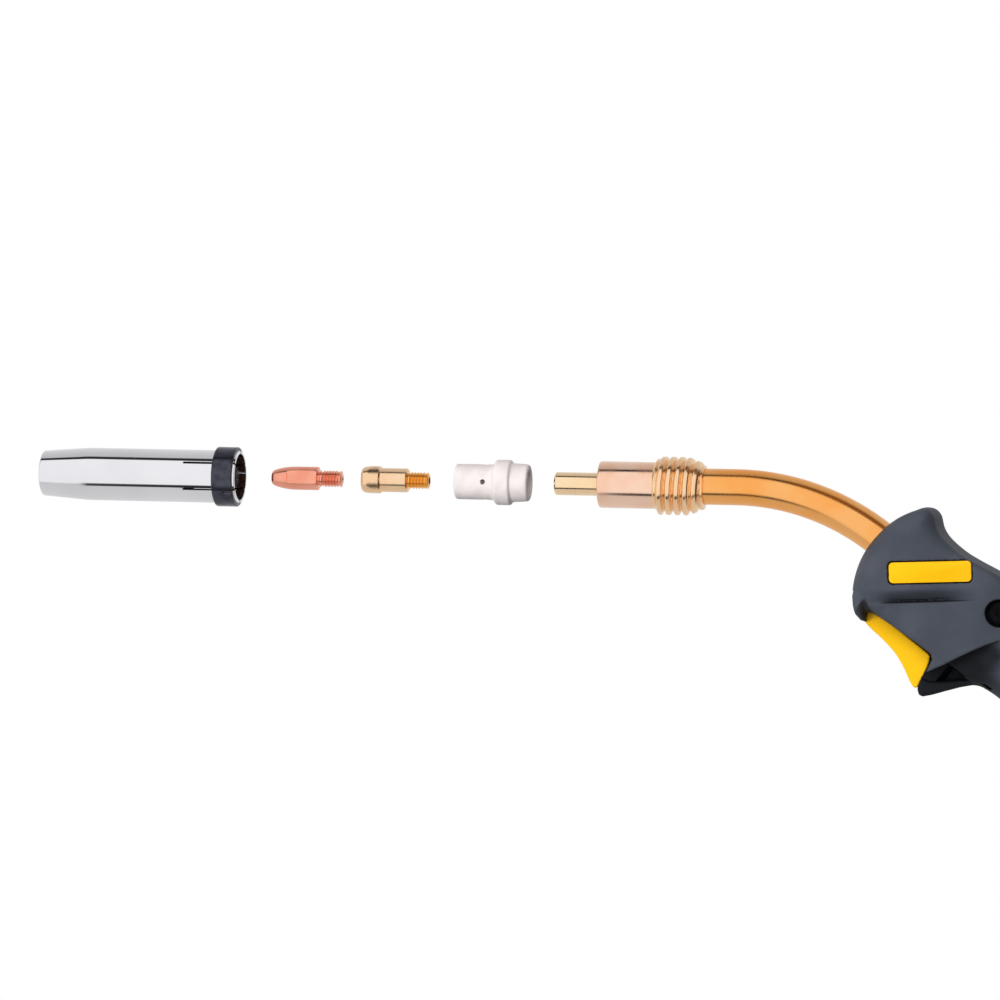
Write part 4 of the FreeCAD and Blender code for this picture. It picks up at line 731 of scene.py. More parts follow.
def turned_skin(name: str, outline: Sequence[Point],
                radius_at: Callable[[float, float, np.ndarray], np.ndarray],
                segments: int = 96) -> bpy.types.Object:
    """Closed skin of a bored piece turned about the front axis.

    Args:
        name: Name of the object.
        outline: (x, radius) points: outside from the front to the rear, then the bore back.
        radius_at: Radius for each angle at an outline point.
        segments: Points round the axis.

    Returns:
        The object.
    """
    theta = around(segments)
    rows = [hoop(x, radius_at(x, r, theta), theta) for x, r in outline]
    return mesh_object(name, np.concatenate(rows), row_faces(len(rows), segments, True))


def dress(item: bpy.types.Object, finish: Finish, body: str, node: str) -> None:
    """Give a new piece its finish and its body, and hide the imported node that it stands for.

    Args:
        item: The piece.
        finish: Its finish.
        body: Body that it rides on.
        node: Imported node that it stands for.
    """
    item.data.materials.clear()
    item.data.materials.append(PAINTS.take(finish))
    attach(item, body)
    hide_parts(node)
    LOG.info("%s: %d faces on %s", item.name, len(item.data.polygons), body)


# Front pieces


@dataclass
class GasNozzle:
    """Chromed nozzle with a coned mouth in front and six springy fingers at its rear."""

    front: float = -198.4
    length: float = 71.0
    radius: float = 9.2
    mouth_outer: float = 7.9
    mouth_inner: float = 6.7
    cone: float = 16.6
    bore: float = 8.1
    lip_round: float = 0.55
    throat_round: float = 12.0
    shoulder_round: float = 45.0
    slot_length: float = 18.6
    slot_width: float = 0.8
    slot_count: int = 6
    slot_turn: float = math.radians(30.0)
    slot_columns: int = 30

    def column_angles(self) -> np.ndarray:
        """Angles of the skin's columns, with a pair of columns at the edges of each slot.

        Returns:
            The angles, one to a column.
        """
        half = self.slot_width / 2 / self.radius
        angles = []
        for k in range(self.slot_count):
            middle = self.slot_turn + 2 * math.pi * k / self.slot_count
            start, end = middle + half, middle + 2 * math.pi / self.slot_count - half
            angles += spaced(start, end, (end - start) / self.slot_columns)
        return np.array(angles)

    def outline(self) -> tuple[list[Point], int, int]:
        """Outline of the wall and the numbers of its rows where the slots begin and end.

        Returns:
            The (x, radius) points, and the two numbers.
        """
        slot_start = self.length - self.slot_length
        mouth = rounded([(self.length, self.bore, 0), (self.cone, self.bore, self.throat_round),
                         (0, self.mouth_inner, self.lip_round), (0, self.mouth_outer, self.lip_round),
                         (self.cone, self.radius, self.shoulder_round),
                         (self.length, self.radius, 0)], 7)[1:-1]
        body = [(x, self.radius) for x in spaced(mouth[-1][0] + 1.5, slot_start, 3)]
        fingers = [(x, self.radius) for x in spaced(slot_start, self.length - 0.3, 1.5)[1:]]
        fingers += [(self.length - 0.1, self.radius - 0.06), (self.length, self.radius - 0.22)]
        back = [(x, self.bore) for x, _ in reversed(fingers)]
        rear = [(x, self.bore) for x, _ in reversed(body)]
        first = len(mouth) + len(body) - 1
        return mouth + body + fingers + back + rear, first, first + 2 * len(fingers) + 1

    def build(self) -> None:
        """Make the nozzle's skin."""
        angles = self.column_angles()
        points, first, last = self.outline()
        count = len(angles)
        rows = [hoop(self.front + x, r, angles) for x, r in points]
        columns = self.slot_columns + 1
        faces = []
        for face in row_faces(len(rows), count, True):
            row, column = divmod(face[0], count)
            if not (first <= row < last and column % columns == columns - 1):
                faces.append(face)
        for k in range(self.slot_count):
            left = k * columns + columns - 1
            right = (left + 1) % count
            for step in range((last - first) // 2):
                outer, inner = first + step, last - step
                for column, way in ((left, 1), (right, -1)):
                    wall = [outer * count + column, (outer + 1) * count + column,
                            (inner - 1) * count + column, inner * count + column]
                    faces.append(wall[::way])
            faces.append([first * count + right, first * count + left, last * count + left,
                          last * count + right])
        skin = mesh_object("nozzle_skin", np.concatenate(rows), faces, 30.0)
        dress(skin, CHROME, "nozzle", "gas_nozzle")


@dataclass
class ContactTip:
    """Copper tip with two wrench flats, a real thread and a wire bore."""

    front: float = -115.7
    body: float = 16.5
    radius: float = 4.05
    nose: tuple[Point, ...] = ((0.0, 1.9), (0.1, 2.2), (0.45, 2.52), (1.2, 2.88), (2.3, 3.22), (3.4, 3.5),
                               (4.6, 3.73), (6.0, 3.92), (7.4, 4.02), (8.6, 4.05))
    bore: float = 0.6
    flat: float = 3.4
    flat_start: float = 5.8
    flat_end: float = 15.1
    flat_turn: float = math.radians(7.0)
    neck: float = 2.3
    thread: Thread = Thread(17.3, 24.6, 1.05, 2.9, 0.55, 1.5)
    end_radius: float = 2.1

    def radius_at(self, x: float, r: float, theta: np.ndarray) -> np.ndarray:
        """Radius with the flats and the thread cut in.

        Args:
            x: Place along the piece.
            r: Radius of the outline there.
            theta: Angles round the axis.

        Returns:
            The radius for each angle.
        """
        radius = np.full(len(theta), r)
        if r <= self.bore:
            return radius
        if self.flat_start < x < self.flat_end:
            across = np.abs(np.cos(theta - self.flat_turn))
            radius = np.minimum(radius, self.flat / np.maximum(across, 0.3))
        if self.thread.start < x <= self.thread.end:
            radius = np.minimum(radius, self.thread.radius(x, theta))
        return radius

    def build(self) -> None:
        """Make the tip's skin."""
        end = self.thread.end + 0.4
        nose = flowing(self.nose, 4)
        outline = [(x, r) for x, r in nose if x < self.flat_start - 0.1]
        edges = [self.flat_start, self.flat_start + 0.01,
                 *spaced(self.flat_start + 0.3, self.flat_end - 0.3, 0.5),
                 self.flat_end - 0.01, self.flat_end, self.body - 0.3]
        outline += [(x, float(between(x, nose))) for x in edges]
        outline += [(self.body - 0.07, self.radius - 0.07), (self.body, self.radius - 0.3)]
        outline += [(self.body, self.neck), (self.thread.start - 0.05, self.neck)]
        outline += [(x, self.thread.crest) for x in self.thread.stations()]
        outline += [(end - 0.2, self.end_radius), (end, self.end_radius - 0.3),
                    (end, self.bore), (0, self.bore)]
        skin = turned_skin("tip_skin", [(self.front + x, r) for x, r in outline],
                           lambda x, r, theta: self.radius_at(x - self.front, r, theta))
        dress(skin, TIP_COPPER, "tip", "contact_tip")


@dataclass
class TipAdaptor:
    """Brass adaptor: barrel head with six small facets, body and golden thread."""

    front: float = -83.5
    head: float = 8.4
    shoulder: float = 6.3
    crown_place: float = 5.2
    crown_front: float = 0.14
    crown_rear: float = 0.03
    head_radius: float = 4.95
    head_front_radius: float = 4.1
    facet: float = 4.66
    facet_crown: float = 0.65
    facet_turn: float = math.radians(37.0)
    body_end: float = 16.2
    body_radius: float = 4.15
    thread: Thread = Thread(16.2, 23.2, 1.05, 2.9, 0.5)
    end_radius: float = 2.35
    socket: float = 3.15
    socket_depth: float = 9.5
    guide: float = 1.3

    def radius_at(self, x: float, r: float, theta: np.ndarray) -> np.ndarray:
        """Radius with the facets and the thread cut in.

        Args:
            x: Place along the piece.
            r: Radius of the outline there.
            theta: Angles round the axis.

        Returns:
            The radius for each angle.
        """
        radius = np.full(len(theta), r)
        if r <= self.socket:
            if self.thread.start < x <= self.thread.end and r > self.guide:
                radius = np.minimum(radius, self.thread.radius(x, theta))
            return radius
        if x < self.head:
            turn = math.radians(60.0)
            beside = (theta - self.facet_turn + turn / 2) % turn - turn / 2
            radius = np.minimum(radius, self.facet * (1 + self.facet_crown * (1 / np.cos(beside) - 1)))
        return radius

    def build(self) -> None:
        """Make the adaptor's skin."""
        end = self.thread.end + 0.4
        head = [(0, self.socket + 0.25), (0, self.head_front_radius - 0.5),
                (0.15, self.head_front_radius - 0.15), (0.5, self.head_front_radius)]
        for x in spaced(0.8, self.shoulder, 0.2):
            rise = max(0.0, 1 - x / self.crown_place) ** 1.6
            fall = max(0.0, (x - self.crown_place) / (self.shoulder - self.crown_place)) ** 2
            head.append((x, self.head_radius * (1 - self.crown_front * rise - self.crown_rear * fall)))
        head += [(self.shoulder + 0.25, self.body_radius + 0.25), (self.shoulder + 0.5, self.body_radius)]
        body = [(self.head + 0.1, self.body_radius), (self.body_end - 0.4, self.body_radius),
                (self.body_end - 0.1, self.body_radius - 0.3), (self.body_end, self.body_radius - 0.5)]
        thread = [(x, self.thread.crest) for x in self.thread.stations()]
        rear = [(end - 0.15, self.end_radius), (end, self.end_radius - 0.25), (end, self.guide),
                (self.socket_depth, self.guide), (self.socket_depth, self.socket), (0.2, self.socket)]
        outline = head + body + thread + rear
        skin = turned_skin("adaptor_skin", [(self.front + x, r) for x, r in outline],
                           lambda x, r, theta: self.radius_at(x - self.front, r, theta))
        dress(skin, ADAPTOR_BRASS, "adaptor", "tip_adaptor")


# Neck


@dataclass
class Sleeve:
    """Copper sleeve with a plain seat and a coarse round thread that runs out to the tube."""

    length: float = 36.5
    plain: float = 19.2
    radius: float = 8.0
    pitch: float = 3.0
    crest: float = 10.0
    depth: float = 1.4
    shift: float = 0.65
    narrowness: float = 3.0
    rise: float = 1.7
    fall: float = 6.2
    fall_curve: float = 1.3
    fall_depth: float = 0.55
    end_radius: float = 7.7
    front_bore: float = 6.85
    tube_bore: float = 6.25
    bore_step: float = 26.5

    def radius_at(self, x: float, r: float, theta: np.ndarray) -> np.ndarray:
        """Radius with the coarse thread, which rises behind the plain seat and falls to the end.

        Args:
            x: Place along the piece.
            r: Radius of the outline there.
            theta: Angles round the axis.

        Returns:
            The radius for each angle.
        """
        if r < self.radius or x <= self.plain:
            return np.full(len(theta), min(r, self.radius))
        phase = 2 * math.pi * (x + self.shift) / self.pitch - theta
        groove = ((1 + np.cos(phase)) / 2) ** self.narrowness
        rise = min(1.0, (x - self.plain) / self.rise)
        fall = min(1.0, max(0.0, (x - self.length + self.fall) / self.fall))
        crest = self.crest + (self.end_radius - self.crest) * fall ** self.fall_curve
        low = crest - self.depth * (1 - self.fall_depth * fall)
        radius = crest + (low - crest) * groove
        return self.radius + (radius - self.radius) * rise

    def build(self) -> None:
        """Make the sleeve's skin."""
        outline = [(0, self.front_bore + 0.35), (0, self.radius - 0.6), (0.1, self.radius - 0.3),
                   (0.3, self.radius - 0.1), (0.7, self.radius), (self.plain - 0.2, self.radius)]
        outline += [(x, self.crest) for x in spaced(self.plain, self.length - 0.2, 0.2)]
        outline += [(self.length, self.end_radius - 0.5), (self.length, self.tube_bore),
                    (self.bore_step, self.tube_bore), (self.bore_step, self.front_bore),
                    (0.5, self.front_bore)]
        skin = turned_skin("sleeve_skin", outline, self.radius_at, 128)
        dress(skin, NECK_PINK, "torch", "nozzle_sleeve")


@dataclass
class BentTube:
    """Tube that follows the neck: straight, bend and a short straight in the handle."""

    name: str
    node: str
    finish: Finish
    slot: str
    outer: float
    inner: float
    front: float
    tail: float
    chamfer: float = 0.0
    socket: float = 0.0
    socket_depth: float = 0.0
    segments: int = 96

    def ring(self, place: float, radius: float) -> np.ndarray:
        """Ring of points round the neck's line, the place being counted along that line.

        Args:
            place: Place along the line, from the sleeve's face.
            radius: Radius of the ring.

        Returns:
            World points in metres, one to a row.
        """
        straight, bend = LAYOUT.neck_straight, LAYOUT.neck_bend_radius
        turn = LAYOUT.neck_turn
        angle = min(max((place - straight) / bend, 0.0), turn)
        past = max(place - straight - bend * turn, 0.0)
        x = min(place, straight) + bend * math.sin(angle) + past * math.cos(angle)
        z = -bend * (1 - math.cos(angle)) - past * math.sin(angle)
        theta = around(self.segments)
        up = radius * np.sin(theta)
        return LAYOUT.front(x + up * math.sin(angle), -radius * np.cos(theta), z + up * math.cos(angle))

    def build(self) -> None:
        """Make the tube's skin."""
        straight = LAYOUT.neck_straight
        bend_end = straight + LAYOUT.neck_bend_radius * LAYOUT.neck_turn
        line = (spaced(self.front + self.chamfer, straight, 4) + spaced(straight, bend_end, 1.5)[1:]
                + spaced(bend_end, bend_end + self.tail, 6)[1:])
        outer = [(self.front, self.outer - self.chamfer)] if self.chamfer else []
        outer += [(place, self.outer) for place in line]
        inner = [(place, self.inner) for place in reversed(line) if place > self.front + self.socket_depth]
        if self.socket:
            depth = self.front + self.socket_depth
            inner += [(depth, self.inner), (depth, self.socket), (self.front, self.socket)]
        else:
            inner += [(self.front, self.inner)]
        rows = [self.ring(place, radius) for place, radius in outer + inner]
        skin = mesh_object(self.name, np.concatenate(rows), row_faces(len(rows), self.segments, True))
        dress(skin, self.finish, "torch", self.node)


# Moulded forms, drawn as fields that are negative inside


def ease(value: np.ndarray, low: float, high: float) -> np.ndarray:
    """Smooth step from 0 at the low value to 1 at the high one."""
    share = np.clip((value - low) / (high - low), 0, 1)
    return share * share * (3 - 2 * share)


def swell(value: np.ndarray, rise: Point, fall: Point) -> np.ndarray:
    """Share that eases in over one stretch and out over another."""
    return ease(value, *rise) * (1 - ease(value, *fall))


def between(value: float | np.ndarray, knots: Sequence[Point]) -> np.ndarray:
    """Height of a line of straight chords through (place, value) knots."""
    return np.interp(value, *zip(*knots))


def through(value: np.ndarray, knots: Sequence[Point]) -> np.ndarray:
    """Smooth curve through (place, value) knots, level at each knot.

    Args:
        value: Places.
        knots: The knots in order.

    Returns:
        The curve's value at each place.
    """
    result = knots[0][1] + 0 * value
    for (left, low), (right, high) in zip(knots, knots[1:]):
        result = result + (high - low) * ease(value, left, right)
    return result


def common(first: np.ndarray, second: np.ndarray, radius: float | np.ndarray) -> np.ndarray:
    """Part inside both fields, with its edge rounded."""
    outside = np.hypot(np.maximum(first + radius, 0), np.maximum(second + radius, 0))
    return np.minimum(np.maximum(first, second), -radius) + outside


def joined(first: np.ndarray, second: np.ndarray, radius: float) -> np.ndarray:
    """Part inside either field, with its inner corner filled."""
    return -common(-first, -second, radius)


def slab(value: np.ndarray, low: float, high: float) -> np.ndarray:
    """Field of the room between two limits."""
    return np.maximum(low - value, value - high)


def brick(s: np.ndarray, y: np.ndarray, t: np.ndarray, along: Point, across: Point, up: Point) -> np.ndarray:
    """Field of a box."""
    return reduce(np.maximum, (slab(s, *along), slab(y, *across), slab(t, *up)))


def rod(s: np.ndarray, y: np.ndarray, t: np.ndarray, centre: Point, radius: float,
        across: Point) -> np.ndarray:
    """Field of a round cross rod."""
    return np.maximum(np.hypot(s - centre[0], t - centre[1]) - radius, slab(y, *across))


def flowing(points: Sequence[Point], steps: int = 6) -> list[Point]:
    """Open smooth curve through points.

    Args:
        points: The points in order.
        steps: Chords from each point to the next.

    Returns:
        The curve's points.
    """
    padded = [points[0], *points, points[-1]]
    result = [points[0]]
    for k in range(1, len(padded) - 2):
        before, start, end, after = (np.array(padded[k + step]) for step in (-1, 0, 1, 2))
        for step in range(1, steps + 1):
            share = step / steps
            spot = 0.5 * (2 * start + (end - before) * share
                          + (2 * before - 5 * start + 4 * end - after) * share ** 2
                          + (3 * start - before - 3 * end + after) * share ** 3)
            result.append(tuple(spot))
    return result


def arc(centre: Point, radius: float, start: float, end: float, steps: int = 24) -> list[Point]:
    """Points of an arc between two angles in degrees."""
    angles = [math.radians(start + (end - start) * k / steps) for k in range(steps + 1)]
    return [(centre[0] + radius * math.cos(a), centre[1] + radius * math.sin(a)) for a in angles]


def outline_field(corners: Sequence[Point], s: np.ndarray, t: np.ndarray) -> np.ndarray:
    """Distance to a closed outline of the side view, negative inside.

    Args:
        corners: The outline's corners in order.
        s: Places along the side view.
        t: Heights of the side view.

    Returns:
        The distance at each place.
    """
    best = np.full(np.broadcast(s, t).shape, np.inf)
    inside = np.zeros(best.shape, bool)
    for (s0, t0), (s1, t1) in zip(corners, [*corners[1:], corners[0]]):
        run, rise = s1 - s0, t1 - t0
        length = run * run + rise * rise
        if length < 1e-12:
            continue
        share = np.clip(((s - s0) * run + (t - t0) * rise) / length, 0, 1)
        best = np.minimum(best, (s - s0 - share * run) ** 2 + (t - t0 - share * rise) ** 2)
        if rise:
            inside ^= ((t0 > t) != (t1 > t)) & (s < run * (t - t0) / rise + s0)
    return np.where(inside, -1.0, 1.0) * np.sqrt(best)


Field = Callable[[np.ndarray, np.ndarray, np.ndarray], np.ndarray]
EVERY = slice(None)
MOULDED_CREASE = 50.0


def sliced(axis: int, along: slice, across: slice = EVERY) -> tuple[slice, ...]:
    """Slices of a grid: one along an axis, another along the two others."""
    return tuple(along if k == axis else across for k in range(3))


def net(form: Field, spaces: Sequence[np.ndarray]) -> tuple[np.ndarray, np.ndarray]:
    """Even net of quads on the surface where a field is zero.

    Args:
        form: The field, a function of three coordinates.
        spaces: Places of the sampling grid along each coordinate.

    Returns:
        The net's points and its quads.
    """
    grids = [axis.reshape([-1 if k == j else 1 for j in range(3)]) for k, axis in enumerate(spaces)]
    values = form(*grids)
    inside = values < 0
    cells = tuple(size - 1 for size in values.shape)
    total = np.zeros((*cells, 3))
    hits = np.zeros(cells)
    for axis in range(3):
        low, high = sliced(axis, slice(None, -1)), sliced(axis, slice(1, None))
        first, second = values[low], values[high]
        crossed = inside[low] != inside[high]
        share = np.where(crossed, first / np.where(crossed, first - second, 1), 0)
        others = [k for k in range(3) if k != axis]
        spots = [np.broadcast_to(grid[low] if grid.shape[axis] > 1 else grid, share.shape) for grid in grids]
        step = np.diff(spaces[axis]).reshape([-1 if k == axis else 1 for k in range(3)])
        spots[axis] = spots[axis] + share * step
        for shift in ((0, 0), (0, 1), (1, 0), (1, 1)):
            window = [EVERY] * 3
            for other, offset in zip(others, shift):
                window[other] = slice(offset, cells[other] + offset)
            hit = crossed[tuple(window)]
            hits += hit
            for k in range(3):
                total[..., k] += np.where(hit, spots[k][tuple(window)], 0)
    active = hits > 0
    number = np.full(cells, -1)
    number[active] = np.arange(active.sum())
    points = total[active] / hits[active][:, None]
    quads = []
    for axis in range(3):
        starts = inside[sliced(axis, slice(None, -1))]
        crossed = starts != inside[sliced(axis, slice(1, None))]
        others = [k for k in range(3) if k != axis]
        inner = sliced(axis, EVERY, slice(1, -1))
        crossed, starts = crossed[inner], starts[inner]
        spots = np.argwhere(crossed)
        ahead = starts[crossed]
        corners = []
        for shift in ((0, 0), (1, 0), (1, 1), (0, 1)):
            index = spots.copy()
            for other, offset in zip(others, shift):
                index[:, other] += offset
            corners.append(number[index[:, 0], index[:, 1], index[:, 2]])
        quad = np.stack(corners, axis=1)
        flip = ahead == (axis == 1)
        quad[flip] = quad[flip][:, ::-1]
        quads.append(quad)
    return points, np.concatenate(quads)


def settled(form: Field, points: np.ndarray, rounds: int, most: float = 0.25) -> np.ndarray:
    """Points moved onto the surface where a field is zero, a limited step at a time.

    Args:
        form: The field.
        points: Points near its surface, one to a row.
        rounds: Moves of each point.
        most: Limit of each move.

    Returns:
        The moved points.
    """
    step = 0.02
    for _ in range(rounds):
        value = form(*points.T)
        slopes = []
        for axis in range(3):
            shift = np.zeros(3)
            shift[axis] = step
            slopes.append((form(*(points + shift).T) - form(*(points - shift).T)) / (2 * step))
        slope = np.stack(slopes, axis=1)
        length = np.maximum((slope ** 2).sum(axis=1), 0.2)
        move = -(value / length)[:, None] * slope
        size = np.maximum(np.linalg.norm(move, axis=1), 1e-9)
        points = points + move * np.minimum(1, most / size)[:, None]
    return points


def moulded_skin(name: str, form: Field, spaces: Sequence[np.ndarray], place: Place,
                 mirrored: bool = False) -> bpy.types.Object:
    """Object on the surface of a field.

    Args:
        name: Name of the object.
        form: The field.
        spaces: Places of the sampling grid along each coordinate.
        place: Map from the field's frame to the world.
        mirrored: Whether the piece is the field's mirror image across its y.

    Returns:
        The object.
    """
    points, quads = net(form, spaces)
    points = settled(form, points, 3)
    if mirrored:
        points = points * np.array([1, -1, 1])
        quads = quads[:, ::-1]
    return mesh_object(name, place(*points.T), quads.tolist(), MOULDED_CREASE)


def steps_through(*stretches: tuple[float, float, float]) -> np.ndarray:
    """Grid places from (start, end, pitch) stretches that follow each other.

    Args:
        stretches: The stretches in order.

    Returns:
        The places.
    """
    places: list[float] = []
    for start, end, pitch in stretches:
        places += spaced(start, end, pitch)[1 if places else 0:]
    return np.array(places)


def front_grid(front: float, length: float, half: float, pitch: float, spare: float) -> list[np.ndarray]:
    """Even grid round a piece of the front axis, with some room to spare at both ends."""
    across = steps_through((-half, half, pitch))
    return [steps_through((front - spare, front + length + spare, pitch)), across, across]


@dataclass
class GasDiffuser:
    """White ceramic diffuser: front tube with four gas holes, filleted flange and rear spigot."""

    front: float = -50.3
    length: float = 25.7
    tube: float = 6.1
    flange: float = 7.8
    flange_start: float = 14.0
    flange_end: float = 19.54
    spigot: float = 6.75
    spigot_end: float = 6.35
    bore: float = 4.3
    hole_place: float = 10.3
    hole: float = 0.85
    fillet: float = 1.6
    spigot_fillet: float = 0.25
    tube_edge: float = 0.7
    rear_edge: float = 0.8
    bore_edge: float = 0.35
    hole_edge: float = 0.18

    def form(self, x: np.ndarray, y: np.ndarray, z: np.ndarray) -> np.ndarray:
        """Field of the diffuser.

        Args:
            x: Place along the front axis.
            y: Cross place.
            z: Height above that axis.

        Returns:
            The field's value at each place.
        """
        x = x - self.front
        radius = np.hypot(y, z)
        tube = common(slab(x, 0, self.flange_end), radius - self.tube, self.tube_edge)
        flange = slab(x, self.flange_start, self.flange_end)
        flange = common(flange, radius - self.flange, self.rear_edge)
        taper = (self.spigot_end - self.spigot) / (self.length - self.flange_end)
        spigot = slab(x, self.flange_start, self.length)
        spigot = common(spigot, radius - self.spigot - taper * (x - self.flange_end), self.rear_edge)
        body = joined(joined(tube, flange, self.fillet), spigot, self.spigot_fillet)
        body = common(body, self.bore - radius, self.bore_edge)
        for across in (y, z):
            hole = self.hole - np.hypot(x - self.hole_place, across)
            body = common(body, hole, self.hole_edge)
        return body

    def build(self) -> None:
        """Make the diffuser's skin."""
        grid = front_grid(self.front, self.length, 8.1, 0.27, 0.4)
        skin = moulded_skin("diffuser_skin", self.form, grid, LAYOUT.front)
        dress(skin, WHITE_CERAMIC, "diffuser", "gas_diffuser")


@dataclass
class ClampRing:
    """Black spring ring, split once: a fine slit in front, and a wide notch behind it."""

    front: float = -135.4
    width: float = 7.4
    inner: float = 9.24
    outer: float = 10.39
    slit: float = 0.4
    notch: float = 1.5
    notch_start: float = 4.0
    split_turn: float = math.radians(-28.0)
    outer_edge: float = 0.45
    inner_edge: float = 0.15
    slit_edge: float = 0.1
    notch_edge: float = 0.2

    def form(self, x: np.ndarray, y: np.ndarray, z: np.ndarray) -> np.ndarray:
        """Field of the ring.

        Args:
            x: Place along the front axis.
            y: Cross place.
            z: Height above that axis.

        Returns:
            The field's value at each place.
        """
        x = x - self.front
        radius = np.hypot(y, z)
        body = common(slab(x, 0, self.width), radius - self.outer, self.outer_edge)
        body = common(body, self.inner - radius, self.inner_edge)
        outward, beside = turned(-y, z, self.split_turn)
        slit = np.maximum(np.abs(beside) - self.slit / 2, -outward)
        notch = slab(beside, self.slit / 2 - self.notch, self.slit / 2)
        notch = reduce(np.maximum, (notch, self.notch_start - x, -outward))
        return common(common(body, -slit, self.slit_edge), -notch, self.notch_edge)

    def build(self) -> None:
        """Make the ring's skin."""
        grid = front_grid(self.front, self.width, 10.8, 0.24, 0.3)
        skin = moulded_skin("ring_skin", self.form, grid, LAYOUT.front)
        dress(skin, BLACK_STEEL, "nozzle", "nozzle_clamp_ring")


@dataclass
class LabelPlates:
    """Two bare yellow plates with softly rounded rims."""

    spot: Point = (21.5, 3.0)
    turn: float = math.radians(39.7)
    length: float = 27.5
    height: float = 7.0
    corner: float = 1.4
    rim: float = 0.25
    face: float = 20.85
    back: float = 19.7

    def ring(self, inset: float, depth: float) -> np.ndarray:
        """Rounded rectangle at a distance from the mid plane, in the handle's frame.

        Args:
            inset: Distance inside the plate's rim.
            depth: Place across the handle.

        Returns:
            Points of the handle's frame, one to a row.
        """
        across, up = self.length / 2 - inset, self.height / 2 - inset
        radius = self.corner - inset
        points = []
        for way, (run, rise) in enumerate(((1, 1), (-1, 1), (-1, -1), (1, -1))):
            centre = (run * (across - radius), rise * (up - radius))
            points += arc(centre, radius, 90 * way, 90 * way + 90, 6)
        run, rise = turned(*np.array(points).T, -self.turn)
        return np.stack([self.spot[0] + run, depth + 0 * run, self.spot[1] + rise], axis=1)

    def build(self) -> None:
        """Make both plates."""
        layers = [(0.0, self.back), (0.0, self.face - self.rim), (self.rim * 0.3, self.face - self.rim * 0.3),
                  (self.rim, self.face)]
        for side, way in (("left", -1), ("right", 1)):
            rows = [self.ring(inset, depth * way) for inset, depth in layers]
            count = len(rows[0])
            faces = row_faces(len(rows), count, False)
            last = (len(rows) - 1) * count
            faces += [tuple(reversed(range(count))), tuple(range(last, last + count))]
            faces = faces if way > 0 else [tuple(reversed(face)) for face in faces]
            plate = mesh_object("label_face_" + side, LAYOUT.handle(*np.concatenate(rows).T), faces)
            dress(plate, LABEL_YELLOW, "torch", "label_plate_" + side)


